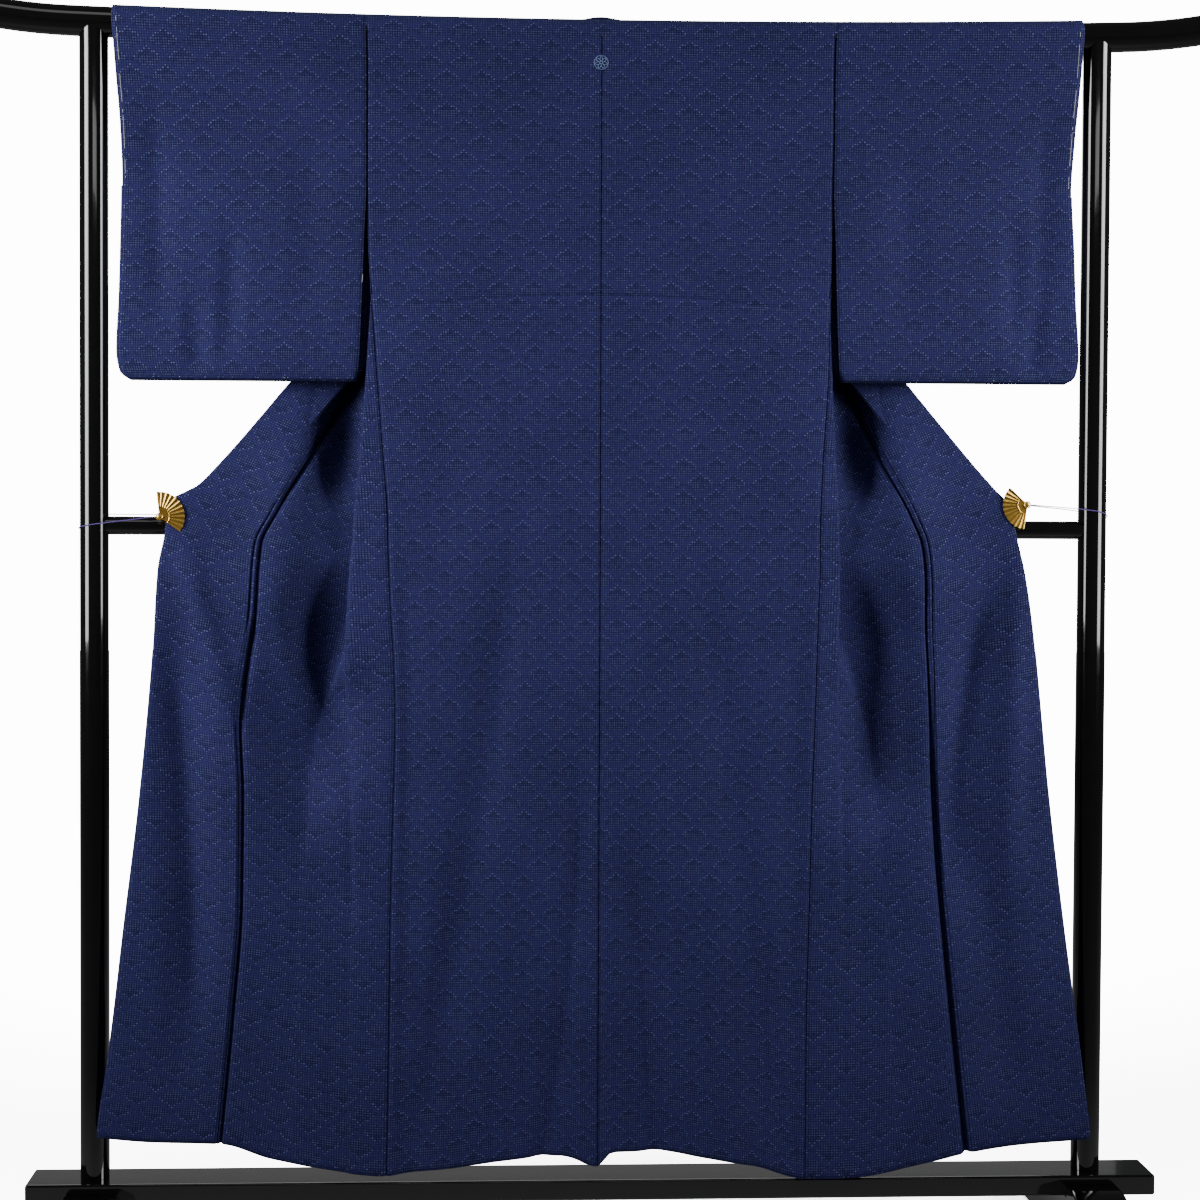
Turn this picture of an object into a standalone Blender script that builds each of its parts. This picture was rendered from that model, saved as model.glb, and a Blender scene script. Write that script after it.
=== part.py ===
"""Kimono spread on a lacquered rack, seen from its back.

Metres, +Z up, origin on the floor at the bottom centre. +X is the right of the view,
-Y is the side that the back of the kimono faces. Tables are in centimetres, with x
counted outward from the centre back seam and one row for each height of the cloth.
"""
import math

import bmesh
import bpy
import numpy as np
from mathutils import Matrix, Vector

CM = 0.01
LEFT, RIGHT = -1, 1

# Rack
BAR_RADIUS = 0.020
BAR_HALF = 0.890
BAR_AXIS = 1.610            # height of the bar's axis at its middle
BAR_SAG = 0.0222            # rise per square metre of the gentle curve
TIP_RISE = 0.60             # rise per square metre of the upturned ends
TIP_START = 0.70
POST_X = 0.669
POST_RADIUS = 0.019
MID_BAR_Z = 0.957
MID_BAR_RADIUS = 0.0122
SOCKET_DEPTH = 0.007
RAIL_SIZE = (1.510, 0.082, 0.0270)
RAIL_BOTTOM = 0.0600
FOOT_LENGTH = 0.380
FOOT_TOP = 0.074
FOOT_HALF_WIDTH = 0.034
FOOT_SPREAD = 0.008         # how much wider the foot is at the floor, each side
CLEAR = 0.0003

# Cloth
WALL = 0.0016
COLLAR_WALL = 0.0020        # the collar is folded double
SEAM_GAP = 0.0004
WRAP_RADIUS = 0.0225        # middle of the cloth where it goes over the bar
WRAP_STEPS = 6
NECK_HALF = 0.090
CENTRE = 0.0002             # each back panel starts this far from the middle
SIDE_TOP = 1.265            # the side seam's upper end
CUFF_BOTTOM = 1.405         # the sleeve is open at the wrist above this
TIP_TOP = 1.418             # the upper point of the overlap panel

# Heights of the rows of cloth below the bar, from the bar down to the hem
LEVELS = (161, 156.5, 152, 147, 141.8, 134, 126.5, 121, 115.5, 109.5, 103.5, 101, 98.8,
          95.2, 93.6, 91, 85, 78, 70, 60, 46, 30, 12)
HEM_BLEND = 60.0            # the hem's own shape dies out over this height, cm

# The front from the side seam to the overlap seam: a strip that turns back at strip_x,
# a layer that runs in behind the back to pocket_x, and a layer that comes out again
FRONT_COLUMNS = ("z", "side_x", "side_y", "strip_x", "strip_y",
                 "pocket_x", "pocket_y", "pocket_gap", "seam_x", "seam_y")
FRONT = {
    LEFT: (
        (161.0, 31.1, 2.25, 28.6, 2.25, 13.9, 2.25, 0.00, 9.0, 2.25),
        (156.5, 31.0, 2.05, 28.5, 2.10, 12.7, 2.10, 0.05, 11.3, 2.15),
        (152.0, 31.0, 1.75, 28.4, 1.80, 11.7, 1.60, 0.32, 13.6, 1.95),
        (147.0, 31.0, 1.30, 28.4, 1.40, 12.0, 1.25, 0.40, 16.1, 1.75),
        (141.8, 31.0, 0.85, 28.6, 0.90, 13.0, 1.00, 0.40, 18.5, 1.50),
        (134.0, 30.8, -0.50, 29.5, -0.20, 15.2, 0.50, 0.40, 22.8, 1.20),
        (126.5, 30.4, -1.90, 30.3, -1.30, 17.3, 0.00, 0.40, 26.9, 1.00),
        (115.5, 29.5, -2.60, 31.0, -2.55, 21.0, -0.90, 0.40, 32.8, 0.40),
        (103.5, 28.5, -3.40, 31.9, -3.55, 25.4, -1.90, 0.40, 39.4, -1.00),
        (97.2, 28.1, -3.90, 32.5, -4.20, 27.9, -2.60, 0.40, 42.8, -2.00),
        (93.6, 28.0, -4.05, 32.7, -4.45, 29.0, -2.62, 0.42, 44.6, -2.35),
        (91.0, 27.9, -4.20, 33.0, -4.70, 29.9, -2.60, 0.45, 44.9, -2.70),
        (84.7, 27.6, -4.40, 33.4, -5.10, 31.6, -2.30, 0.40, 45.3, -3.20),
        (78.0, 27.2, -4.50, 33.6, -5.20, 33.9, -2.10, 0.30, 46.4, -3.60),
        (70.0, 27.0, -4.60, 33.0, -5.10, 36.8, -2.30, 0.15, 47.4, -4.00),
        (60.0, 27.2, -4.70, 32.4, -5.00, 38.2, -3.00, 0.06, 47.0, -4.40),
        (46.0, 27.5, -4.80, 32.2, -5.05, 39.0, -3.90, 0.03, 47.1, -4.70),
        (30.0, 27.7, -5.00, 32.4, -5.25, 39.6, -4.60, 0.02, 48.2, -5.10),
        (12.0, 28.0, -5.20, 32.8, -5.50, 40.4, -5.00, 0.02, 49.8, -5.30),
    ),
    RIGHT: (
        (161.0, 31.2, 2.25, 28.6, 2.25, 13.9, 2.25, 0.00, 9.0, 2.25),
        (156.5, 31.1, 2.05, 28.5, 2.10, 12.9, 2.10, 0.05, 11.5, 2.15),
        (152.0, 31.1, 1.75, 28.4, 1.80, 12.2, 1.60, 0.32, 14.1, 1.95),
        (147.0, 31.1, 1.30, 28.4, 1.40, 12.6, 1.25, 0.40, 16.9, 1.75),
        (141.8, 31.0, 0.85, 28.6, 0.90, 13.6, 1.00, 0.40, 19.8, 1.50),
        (134.0, 30.9, -0.50, 29.5, -0.20, 15.8, 0.50, 0.40, 24.2, 1.20),
        (126.5, 30.8, -1.90, 30.5, -1.30, 18.0, 0.00, 0.40, 28.2, 1.00),
        (115.5, 30.4, -2.60, 31.0, -2.55, 21.4, -0.90, 0.40, 33.6, 0.40),
        (103.5, 29.6, -3.40, 31.5, -3.55, 24.6, -1.90, 0.40, 38.8, -1.00),
        (97.2, 29.4, -3.90, 31.9, -4.20, 26.6, -2.60, 0.40, 41.7, -2.00),
        (93.6, 29.3, -4.05, 32.0, -4.40, 27.3, -2.62, 0.42, 43.1, -2.35),
        (91.0, 29.3, -4.20, 32.1, -4.60, 27.9, -2.60, 0.45, 43.4, -2.70),
        (84.7, 29.1, -4.40, 32.0, -4.90, 29.2, -2.30, 0.40, 43.7, -3.20),
        (78.0, 28.9, -4.50, 32.0, -5.00, 32.4, -2.10, 0.30, 44.1, -3.60),
        (70.0, 28.7, -4.60, 32.0, -4.95, 35.6, -2.30, 0.15, 44.5, -4.00),
        (60.0, 28.4, -4.70, 32.2, -4.95, 37.2, -3.10, 0.06, 45.0, -4.40),
        (46.0, 28.1, -4.80, 32.4, -5.00, 38.2, -4.00, 0.03, 46.0, -4.70),
        (30.0, 27.8, -5.00, 32.6, -5.20, 39.2, -4.70, 0.02, 47.6, -5.10),
        (12.0, 27.8, -5.20, 32.8, -5.45, 40.0, -5.05, 0.02, 49.6, -5.30),
    ),
}

# The back: depth of its side edge above the side seam, and of its middle
BACK_COLUMNS = ("z", "side_y", "middle_y")
BACK = (
    (161.0, -2.25, -2.25), (150.0, -2.25, -2.60), (141.8, -2.20, -2.90),
    (134.0, -2.10, -3.05), (126.5, -1.90, -3.25), (115.5, -2.60, -3.70),
    (101.0, -3.60, -4.20), (85.0, -4.40, -4.75), (60.0, -4.70, -5.20),
    (30.0, -5.00, -5.50), (12.0, -5.20, -5.70),
)

# Soft vertical folds of the back, x to the right of the centre seam: they start at
# z_top with no depth and reach their full depth at the hem
BACK_FOLD_COLUMNS = ("x_top", "x_hem", "z_top", "half_width", "depth")
BACK_FOLDS = (
    (-21.5, -24.0, 105, 2.6, 0.8), (-11.0, -16.0, 120, 2.6, 1.0), (-3.0, -7.5, 92, 1.8, 0.7),
    (3.0, 7.0, 135, 2.2, 0.8), (12.5, 18.5, 100, 2.8, 0.9), (22.5, 25.0, 88, 1.8, 0.6),
)

# Front edge of the overlap panel, from its upper point past the clip to the hem
EDGE_COLUMNS = ("z", "edge_x", "edge_y")
EDGE = {
    LEFT: (
        (141.8, 19.0, 1.50), (134.0, 25.1, 1.30), (126.5, 31.4, 1.15), (115.5, 40.7, 0.60),
        (103.5, 50.8, -1.00), (101.0, 53.2, -1.85), (98.8, 57.0, -2.45), (95.2, 57.3, -2.45),
        (90.0, 58.3, -2.50), (79.0, 59.0, -2.70), (60.0, 60.6, -3.30), (42.0, 62.6, -4.00),
        (26.0, 64.3, -4.60), (14.0, 65.9, -4.90),
    ),
    RIGHT: (
        (141.8, 20.3, 1.50), (134.0, 26.2, 1.30), (126.5, 32.3, 1.15), (115.5, 41.4, 0.60),
        (103.5, 51.2, -1.00), (101.0, 53.3, -1.85), (98.8, 55.2, -2.45), (95.2, 56.0, -2.45),
        (90.0, 57.2, -2.50), (80.0, 58.6, -2.70), (60.0, 60.6, -3.30), (42.0, 62.7, -4.00),
        (26.0, 64.8, -4.60), (14.0, 66.3, -4.90),
    ),
}

# Height of the hem, from the centre back seam to the front edge
HEM_COLUMNS = ("x", "z")
HEM = {
    LEFT: ((0.0, 10.9), (1.2, 11.2), (3.1, 12.1), (5.0, 12.5), (12.9, 11.8), (19.6, 10.8),
           (28.0, 9.8), (35.4, 10.7), (43.3, 12.3), (49.6, 14.3), (59.1, 14.6), (66.1, 15.2)),
    RIGHT: ((0.0, 10.9), (0.6, 11.6), (2.0, 12.9), (8.4, 13.0), (13.7, 12.1), (20.5, 10.7),
            (27.7, 8.9), (33.9, 9.0), (44.1, 10.9), (49.3, 12.2), (56.9, 13.3), (66.3, 13.9)),
}

# Sleeve: inner edge, outer edge, and the depth of its two layers at both ends
SLEEVE_COLUMNS = ("z", "inner_x", "outer_x", "inner_back", "inner_front",
                  "outer_middle", "outer_gap")
SLEEVE = {
    LEFT: (
        (161.0, 31.14, 64.3, -2.25, 2.25, 0.00, 2.25), (155.0, 31.04, 63.8, -2.25, 1.96, -0.05, 1.75),
        (148.0, 31.04, 63.3, -2.23, 1.38, -0.20, 0.95), (140.5, 31.04, 63.1, -2.20, 0.70, -0.40, 0.22),
        (134.0, 31.3, 63.2, -2.10, 0.30, -0.60, 0.22), (126.0, 31.6, 63.4, -2.05, -0.05, -0.80, 0.24),
        (119.0, 31.9, 63.7, -1.85, -0.35, -0.95, 0.26), (116.0, 32.1, 63.2, -1.55, -0.85, -1.00, 0.22),
        (114.9, 32.2, 61.9, -1.20, -1.20, -1.00, 0.00),
    ),
    RIGHT: (
        (161.0, 31.24, 64.6, -2.25, 2.25, 0.00, 2.25), (155.0, 31.14, 64.2, -2.25, 1.96, -0.05, 1.75),
        (148.0, 31.14, 63.7, -2.23, 1.38, -0.20, 0.95), (140.5, 31.08, 63.4, -2.20, 0.70, -0.40, 0.22),
        (134.0, 31.35, 63.7, -2.10, 0.30, -0.60, 0.22), (126.0, 31.6, 64.0, -2.05, -0.05, -0.80, 0.24),
        (119.0, 31.9, 64.4, -1.85, -0.35, -0.95, 0.26), (116.2, 32.1, 63.9, -1.55, -0.85, -1.00, 0.22),
        (115.3, 32.2, 62.6, -1.20, -1.20, -1.00, 0.00),
    ),
}
SLEEVE_STEPS = 9

# Collar round the neck: its sewn edge and its free edge, which hangs behind. A drop is
# the way down along the cloth from the top of the bar, over its far side
COLLAR_COLUMNS = ("sewn_x", "sewn_drop", "sewn_y", "free_x", "free_drop", "free_y")
COLLAR = {
    LEFT: (
        (0.0, 0.12, 2.25, 0.0, 5.60, 2.50), (3.2, 0.12, 2.25, 2.2, 5.65, 2.50),
        (6.2, 0.12, 2.25, 3.9, 5.90, 2.50), (8.6, 0.12, 2.25, 4.8, 6.30, 2.52),
        (8.9, 0.75, 2.25, 4.95, 6.50, 2.53), (8.96, 1.50, 2.25, 5.1, 6.75, 2.55),
        (8.96, 2.40, 2.25, 5.3, 7.20, 2.57), (8.96, 3.53, 2.25, 5.6, 7.9, 2.60),
        (10.1, 5.83, 2.30, 6.1, 9.4, 2.70), (11.25, 8.03, 2.40, 6.9, 11.5, 2.80),
        (13.5, 12.53, 2.30, 8.9, 15.8, 2.75), (16.0, 17.53, 2.05, 11.4, 20.8, 2.45),
    ),
    RIGHT: (
        (0.0, 0.12, 2.25, 0.0, 5.60, 2.50), (3.2, 0.12, 2.25, 2.2, 5.65, 2.50),
        (6.2, 0.12, 2.25, 3.9, 5.90, 2.50), (8.6, 0.12, 2.25, 4.8, 6.30, 2.52),
        (8.9, 0.75, 2.25, 4.95, 6.50, 2.53), (8.96, 1.50, 2.25, 5.1, 6.75, 2.55),
        (8.96, 2.40, 2.25, 5.3, 7.20, 2.57), (8.96, 3.53, 2.25, 5.6, 7.9, 2.60),
        (10.2, 5.83, 2.30, 6.2, 9.4, 2.70), (11.45, 8.03, 2.40, 7.1, 11.5, 2.80),
        (14.0, 12.53, 2.30, 9.3, 15.8, 2.75), (16.8, 17.53, 2.05, 12.2, 20.8, 2.45),
    ),
}
# Further down it is folded back behind the overlap panel and hangs at right angles to
# the sewn edge, from the panel's upper point to the clip
COLLAR_WIDTH = 5.8
COLLAR_END = 98.8
SEWN_BEHIND = 0.27          # middle of the collar behind middle of the panel, cm
HANG_BEHIND = 0.55
PINCHED_BEHIND = 0.30        # at its end, which the clip holds
COLLAR_STEPS = 6
COLLAR_LIFT = 0.0010        # it stands this far off the cloth's path over the bar
NECK_PEAK = 0.004           # the collar stands up a little at the centre back
NECK_PEAK_WIDTH = 0.012

# Clips: a folding fan in front, a plain jaw behind, one pin through both ends
CLIP_COLUMNS = ("pivot_x", "pivot_z", "first_degree", "last_degree")
CLIP = {LEFT: (58.0, 96.9, -36, 96), RIGHT: (57.4, 99.1, 137, 262)}
FAN_Y = -0.0270              # it rests on the overlap panel
FAN_RADIUS = 0.0325
FAN_HUB = 0.0095
FAN_PLEATS = 11
PLEAT_DEPTH = 0.0007         # either way at the rim, none at the hub
FAN_WALL = 0.0012
JAW_Y = -0.0190              # just behind the folded collar
JAW_RADIUS = 0.022
JAW_WALL = 0.0012
PIN_RADIUS = 0.0040
PIN_PROUD = 0.0018           # each end stands this far past the middle of its plate
PLATE_START = 0.0034         # the plates begin inside the pin

# Cord from the clip's pin, before the post, round it and back: depth of its two ends,
# and its height at the pin, before the post, outside it, behind it and back at the pin
CORD_RADIUS = 0.0007
CORD_COLUMNS = ("pin_x", "first_y", "last_y", "first_z", "before_z", "outside_z", "behind_z", "last_z")
CORD = {
    LEFT: (58.44, -2.55, -2.05, 96.90, 95.80, 95.30, 97.20, 97.15),
    RIGHT: (57.84, -2.55, -2.05, 99.10, 98.30, 97.50, 98.20, 99.00),
}
CORD_TURN_POINTS = 28       # round the post
CORD_STRAND_POINTS = 18     # on each straight strand


def smooth(knots, values, at):
    """Value at a place, on a curve through the knots that never overshoots them."""
    knots, values = np.asarray(knots, float), np.asarray(values, float)
    step = np.diff(knots)
    slope = np.diff(values) / step
    tangent = np.zeros(len(knots))
    tangent[0], tangent[-1] = slope[0], slope[-1]
    for i in range(1, len(knots) - 1):
        if slope[i - 1] * slope[i] > 0:
            a, b = 2 * step[i] + step[i - 1], step[i] + 2 * step[i - 1]
            tangent[i] = (a + b) / (a / slope[i - 1] + b / slope[i])
    at = min(max(at, knots[0]), knots[-1])
    i = min(int(np.searchsorted(knots, at, side="right")) - 1, len(step) - 1)
    t = (at - knots[i]) / step[i]
    return float((2 * t**3 - 3 * t**2 + 1) * values[i] + (t**3 - 2 * t**2 + t) * step[i] * tangent[i]
                 + (3 * t**2 - 2 * t**3) * values[i + 1] + (t**3 - t**2) * step[i] * tangent[i + 1])


def reader(columns, rows):
    """A function that reads a table's named column at a value of its first column."""
    rows = sorted(rows)
    data = {name: [row[i] for row in rows] for i, name in enumerate(columns)}
    return lambda name, at: smooth(data[columns[0]], data[name], at)


def mix(a, b, t):
    return a + (b - a) * t


def bar_axis(x):
    return BAR_AXIS + BAR_SAG * x * x + TIP_RISE * max(0.0, abs(x) - TIP_START) ** 2


front = {side: reader(FRONT_COLUMNS, FRONT[side]) for side in FRONT}
edge = {side: reader(EDGE_COLUMNS, EDGE[side]) for side in EDGE}
hem = {side: reader(HEM_COLUMNS, HEM[side]) for side in HEM}
sleeve = {side: reader(SLEEVE_COLUMNS, SLEEVE[side]) for side in SLEEVE}
back = reader(BACK_COLUMNS, BACK)


def height(side, x, level):
    """Height of a row at x, cm: the lowest rows follow the hem, the first the bar."""
    if level == LEVELS[0]:
        return bar_axis(x * CM) / CM
    share = max(0.0, 1 - (level - LEVELS[-1]) / HEM_BLEND) ** 2
    return level + (hem[side]("z", x) - LEVELS[-1]) * share


def back_folds(x, z):
    """How far the back's soft folds push it in at x right of the centre, cm."""
    total = 0.0
    for fold in BACK_FOLDS:
        x_top, x_hem, z_top, half_width, depth = fold
        share = min(max((z_top - z) / (z_top - LEVELS[-1]), 0.0), 1.0)
        centre = mix(x_top, x_hem, share)
        total += depth * share * math.exp(-((x - centre) / half_width) ** 2)
    return total


def limited(value, most):
    return max(-most, min(most, value))


def front_section(side, z):
    """The front's points from the side seam to the overlap seam at one height, cm."""
    at = {name: front[side](name, z) for name in FRONT_COLUMNS[1:]}
    side_seam = (at["side_x"], at["side_y"])
    strip = (at["strip_x"], at["strip_y"])
    seam = (at["seam_x"], at["seam_y"])
    fold_in = (at["pocket_x"] + limited(0.15 * (strip[0] - at["pocket_x"]), 0.5),
               at["pocket_y"] - at["pocket_gap"])
    fold_out = (at["pocket_x"] + limited(0.15 * (seam[0] - at["pocket_x"]), 0.5),
                at["pocket_y"] + at["pocket_gap"])
    turn = (strip[0] + limited(0.12 * (at["pocket_x"] - strip[0]), 0.4),
            mix(strip[1], fold_in[1], 0.5))
    points = [side_seam, (mix(side_seam[0], strip[0], 0.5), mix(side_seam[1], strip[1], 0.5)),
              strip, turn]
    points += [(mix(turn[0], fold_in[0], t), mix(turn[1], fold_in[1], t)) for t in (0.25, 0.5, 0.75)]
    points += [fold_in, (at["pocket_x"], at["pocket_y"]), fold_out]
    points += [(mix(fold_out[0], seam[0], t), mix(fold_out[1], seam[1], t)) for t in (0.2, 0.4, 0.6, 0.8)]
    return points + [seam]


def material(name, colour, roughness, metallic=0.0):
    made = bpy.data.materials.new(name)
    made.use_nodes = True
    shader = made.node_tree.nodes["Principled BSDF"]
    shader.inputs["Base Color"].default_value = (*colour, 1)
    shader.inputs["Roughness"].default_value = roughness
    shader.inputs["Metallic"].default_value = metallic
    return made


def place(obj, collection, finish):
    """Put an object in its collection with its material."""
    for other in list(obj.users_collection):
        other.objects.unlink(obj)
    collection.objects.link(obj)
    if finish:
        obj.data.materials.clear()
        obj.data.materials.append(finish)
    return obj


def cloth(name, points, faces, wall, collection, finish):
    """An open surface of points in metres, thickened evenly to both sides."""
    mesh = bpy.data.meshes.new(name)
    build = bmesh.new()
    verts = {key: build.verts.new(point) for key, point in points.items()}
    for face in faces:
        build.faces.new([verts[key] for key in face])
    bmesh.ops.recalc_face_normals(build, faces=build.faces)
    build.to_mesh(mesh)
    build.free()
    obj = place(bpy.data.objects.new(name, mesh), collection, finish)
    thick = obj.modifiers.new("Wall", 'SOLIDIFY')
    thick.thickness = wall
    thick.offset = 0.0
    mesh.shade_smooth()
    return obj


def grid_faces(rows, columns, keep=lambda i, j: True):
    return [((i, j), (i, j + 1), (i + 1, j + 1), (i + 1, j))
            for i in range(rows) for j in range(columns) if keep(i, j)]


def body_panel(side, collection, finish):
    """One length of cloth: up the back, over the bar, and down the front."""
    top = front_section(side, LEVELS[0])
    neck = [(0.0, 0), (3.0, 0), (6.0, 0)]
    across = neck + list(reversed(top))
    share = [x / top[0][0] for x, _ in across]
    last = len(across) - 1
    points = {}
    rows = list(reversed(LEVELS))
    for i, level in enumerate(rows):
        for j, part in enumerate(share):
            side_x = front[side]("side_x", level) - SEAM_GAP / 2 / CM
            x = mix(CENTRE / CM, side_x, part)
            z = height(side, x, level)
            y = mix(back("middle_y", z), back("side_y", z), part ** 2)
            if level != LEVELS[0]:
                y += back_folds(side * x, z) * (1 - part ** 8)
            points[i, j] = (side * x * CM, y * CM, z * CM)
    start = len(rows) - 1
    for k in range(1, WRAP_STEPS + 1):
        turn = math.pi * k / WRAP_STEPS
        for j, part in enumerate(share):
            x = points[start, j][0]
            points[start + k, j] = (x, -WRAP_RADIUS * math.cos(turn),
                                    bar_axis(x) + WRAP_RADIUS * math.sin(turn))
    over = start + WRAP_STEPS
    for i, level in enumerate(LEVELS[1:], start=1):
        section = front_section(side, level)
        for m, (x, y) in enumerate(section):
            if m == 0 and level <= SIDE_TOP / CM + 0.01:
                x += SEAM_GAP / 2 / CM
            points[over + i, last - m] = (side * x * CM, y * CM, height(side, x, level) * CM)
    neck_columns = len(neck)
    faces = grid_faces(over + len(LEVELS) - 1, last,
                       lambda i, j: j >= neck_columns or i < start + WRAP_STEPS // 2)
    used = {key for face in faces for key in face}
    name = "body_left" if side == LEFT else "body_right"
    return cloth(name, {key: points[key] for key in sorted(used)}, faces, WALL, collection, finish)


def okumi_panel(side, collection, finish):
    """The overlap panel, from the front's inner edge to its own front edge."""
    columns = 6
    levels = [level for level in LEVELS if level <= TIP_TOP / CM]
    points = {}
    for i, level in enumerate(levels):
        seam_x = front[side]("seam_x", level) + SEAM_GAP / CM
        seam_y = front[side]("seam_y", level)
        edge_x, edge_y = edge[side]("edge_x", level), edge[side]("edge_y", level)
        for j in range(columns + 1):
            part = j / columns
            x, y = mix(seam_x, edge_x, part), mix(seam_y, edge_y, part)
            points[i, j] = (side * x * CM, y * CM, height(side, x, level) * CM)
    name = "okumi_left" if side == LEFT else "okumi_right"
    return cloth(name, points, grid_faces(len(levels) - 1, columns), WALL, collection, finish)


def sleeve_bag(side, collection, finish):
    """A sleeve: a flat tube round the bar, closed below and outside under the cuff."""
    rows = sorted((row[0] for row in SLEEVE[side]), reverse=True)
    layers = rows[:-1]
    points = {}
    for j in range(SLEEVE_STEPS + 1):
        part = j / SLEEVE_STEPS
        ease = part * part * (3 - 2 * part)
        loop = []
        for level in rows:
            at = {name: sleeve[side](name, level) for name in SLEEVE_COLUMNS[1:]}
            x = mix(at["inner_x"], at["outer_x"], part)
            z = bar_axis(x * CM) if level == rows[0] else level * CM
            behind = mix(at["inner_back"], at["outer_middle"] - at["outer_gap"], ease)
            ahead = mix(at["inner_front"], at["outer_middle"] + at["outer_gap"], ease)
            loop.append((side * x * CM, behind * CM, ahead * CM, z))
        bottom = loop.pop()
        ring = [(x, behind, z) for x, behind, _, z in reversed(loop)]
        x, _, _, z = loop[0]
        for k in range(1, WRAP_STEPS):
            turn = math.pi * k / WRAP_STEPS
            ring.append((x, -WRAP_RADIUS * math.cos(turn), z + WRAP_RADIUS * math.sin(turn)))
        ring += [(x, ahead, z) for x, _, ahead, z in loop]
        ring.append((bottom[0], bottom[1], bottom[3]))
        for i, point in enumerate(ring):
            points[i, j] = point
    count = len(ring)
    faces = [((i, j), (i, j + 1), ((i + 1) % count, j + 1), ((i + 1) % count, j))
             for i in range(count) for j in range(SLEEVE_STEPS)]
    last, ridge = SLEEVE_STEPS, []
    for i, level in enumerate(reversed(layers)):
        if level > CUFF_BOTTOM / CM:
            break
        x, behind, z = points[i, last]
        ahead = points[count - 2 - i, last][1]
        points["ridge", i] = (x + side * 0.0015, (behind + ahead) / 2, z)
        ridge.append(i)
    bottom = (count - 1, last)
    faces += [(bottom, (0, last), ("ridge", 0)), (bottom, ("ridge", 0), (count - 2, last))]
    for i in ridge[:-1]:
        faces.append(((i, last), (i + 1, last), ("ridge", i + 1), ("ridge", i)))
        faces.append(((count - 2 - i, last), ("ridge", i), ("ridge", i + 1), (count - 3 - i, last)))
    name = "sleeve_left" if side == LEFT else "sleeve_right"
    return cloth(name, points, faces, WALL, collection, finish)


def panel_depth(side, x, z):
    """Depth of the front's outermost layer at a place, cm, along the cloth's facets."""
    upper = max(i for i, level in enumerate(LEVELS) if level >= z)
    pair = LEVELS[upper:upper + 2]
    depths = []
    for level in pair:
        section = front_section(side, level)
        line = [section[9], section[-1]]
        if level <= TIP_TOP / CM:
            line.append((edge[side]("edge_x", level), edge[side]("edge_y", level)))
        depths.append(float(np.interp(x, [p[0] for p in line], [p[1] for p in line])))
    return mix(depths[1], depths[0], (z - pair[1]) / (pair[0] - pair[1]))


def collar_run(side):
    """Sewn and free ends of the collar down the overlap panel's edge, cm."""
    levels = [level for level in LEVELS if COLLAR_END <= level <= TIP_TOP / CM]
    sewn = [(edge[side]("edge_x", level) - 0.1, level) for level in levels]
    run = []
    for i, (x, z) in enumerate(sewn):
        before, after = sewn[max(i - 1, 0)], sewn[min(i + 1, len(sewn) - 1)]
        along = Vector((after[0] - before[0], after[1] - before[1])).normalized()
        run.append(((x, z), (x + COLLAR_WIDTH * along.y, z - COLLAR_WIDTH * along.x)))
    return run


def collar_band(collection, finish):
    """The collar, from clip to clip round the neck, its free edge hanging behind."""
    quarter = WRAP_RADIUS * math.pi / 2
    lines = []
    for side in (LEFT, RIGHT):
        half = []
        for row in COLLAR[side]:
            at = dict(zip(COLLAR_COLUMNS, row))
            line = []
            for j in range(COLLAR_STEPS + 1):
                part = j / COLLAR_STEPS
                x = side * mix(at["sewn_x"], at["free_x"], part) * CM
                drop = mix(at["sewn_drop"], at["free_drop"], part) * CM
                if drop < quarter:
                    turn, radius = drop / WRAP_RADIUS, WRAP_RADIUS + COLLAR_LIFT * (j > 0)
                    y = radius * math.sin(turn)
                    z = bar_axis(min(abs(x), NECK_HALF)) + radius * math.cos(turn)
                else:
                    y = mix(at["sewn_y"], at["free_y"], part) * CM
                    z = LEVELS[0] * CM - (drop - quarter)
                if j == 0:
                    z += NECK_PEAK * math.exp(-(x / NECK_PEAK_WIDTH) ** 2)
                line.append((x, y, z))
            half.append(line)
        run = collar_run(side)
        for sewn, free in run:
            line = []
            hang = PINCHED_BEHIND if sewn is run[-1][0] else HANG_BEHIND
            for j in range(COLLAR_STEPS + 1):
                part = j / COLLAR_STEPS
                x, z = mix(sewn[0], free[0], part), mix(sewn[1], free[1], part)
                behind = SEWN_BEHIND if j == 0 else hang
                line.append((side * x * CM, (panel_depth(side, x, z) + behind) * CM, z * CM))
            half.append(line)
        lines = list(reversed(half)) if side == LEFT else lines + half[1:]
    points = {(i, j): point for i, line in enumerate(lines) for j, point in enumerate(line)}
    return cloth("collar", points, grid_faces(len(lines) - 1, COLLAR_STEPS), COLLAR_WALL,
                 collection, finish)


def tube(name, places, radius, resolution, collection, finish):
    """A round rod or cord along a polyline of places."""
    curve = bpy.data.curves.new(name, 'CURVE')
    curve.dimensions = '3D'
    curve.bevel_depth = radius
    curve.bevel_resolution = resolution
    curve.use_fill_caps = True
    spline = curve.splines.new('POLY')
    spline.points.add(len(places) - 1)
    for point, co in zip(spline.points, places):
        point.co = (*co, 1)
    return place(bpy.data.objects.new(name, curve), collection, finish)


def cylinder(name, radius, length, location, direction, collection, finish=None, sides=32):
    bpy.ops.mesh.primitive_cylinder_add(vertices=sides, radius=radius, depth=length,
                                        location=location)
    obj = bpy.context.object
    obj.name = name
    obj.rotation_euler = Vector(direction).to_track_quat('Z', 'Y').to_euler()
    obj.data.shade_smooth()
    obj.data.set_sharp_from_angle(angle=math.radians(40))
    return place(obj, collection, finish)


def box(name, size, location, collection, finish=None):
    bpy.ops.mesh.primitive_cube_add(size=1, location=location)
    obj = bpy.context.object
    obj.name = name
    obj.data.transform(Matrix.Diagonal((*size, 1)))
    return place(obj, collection, finish)


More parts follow.
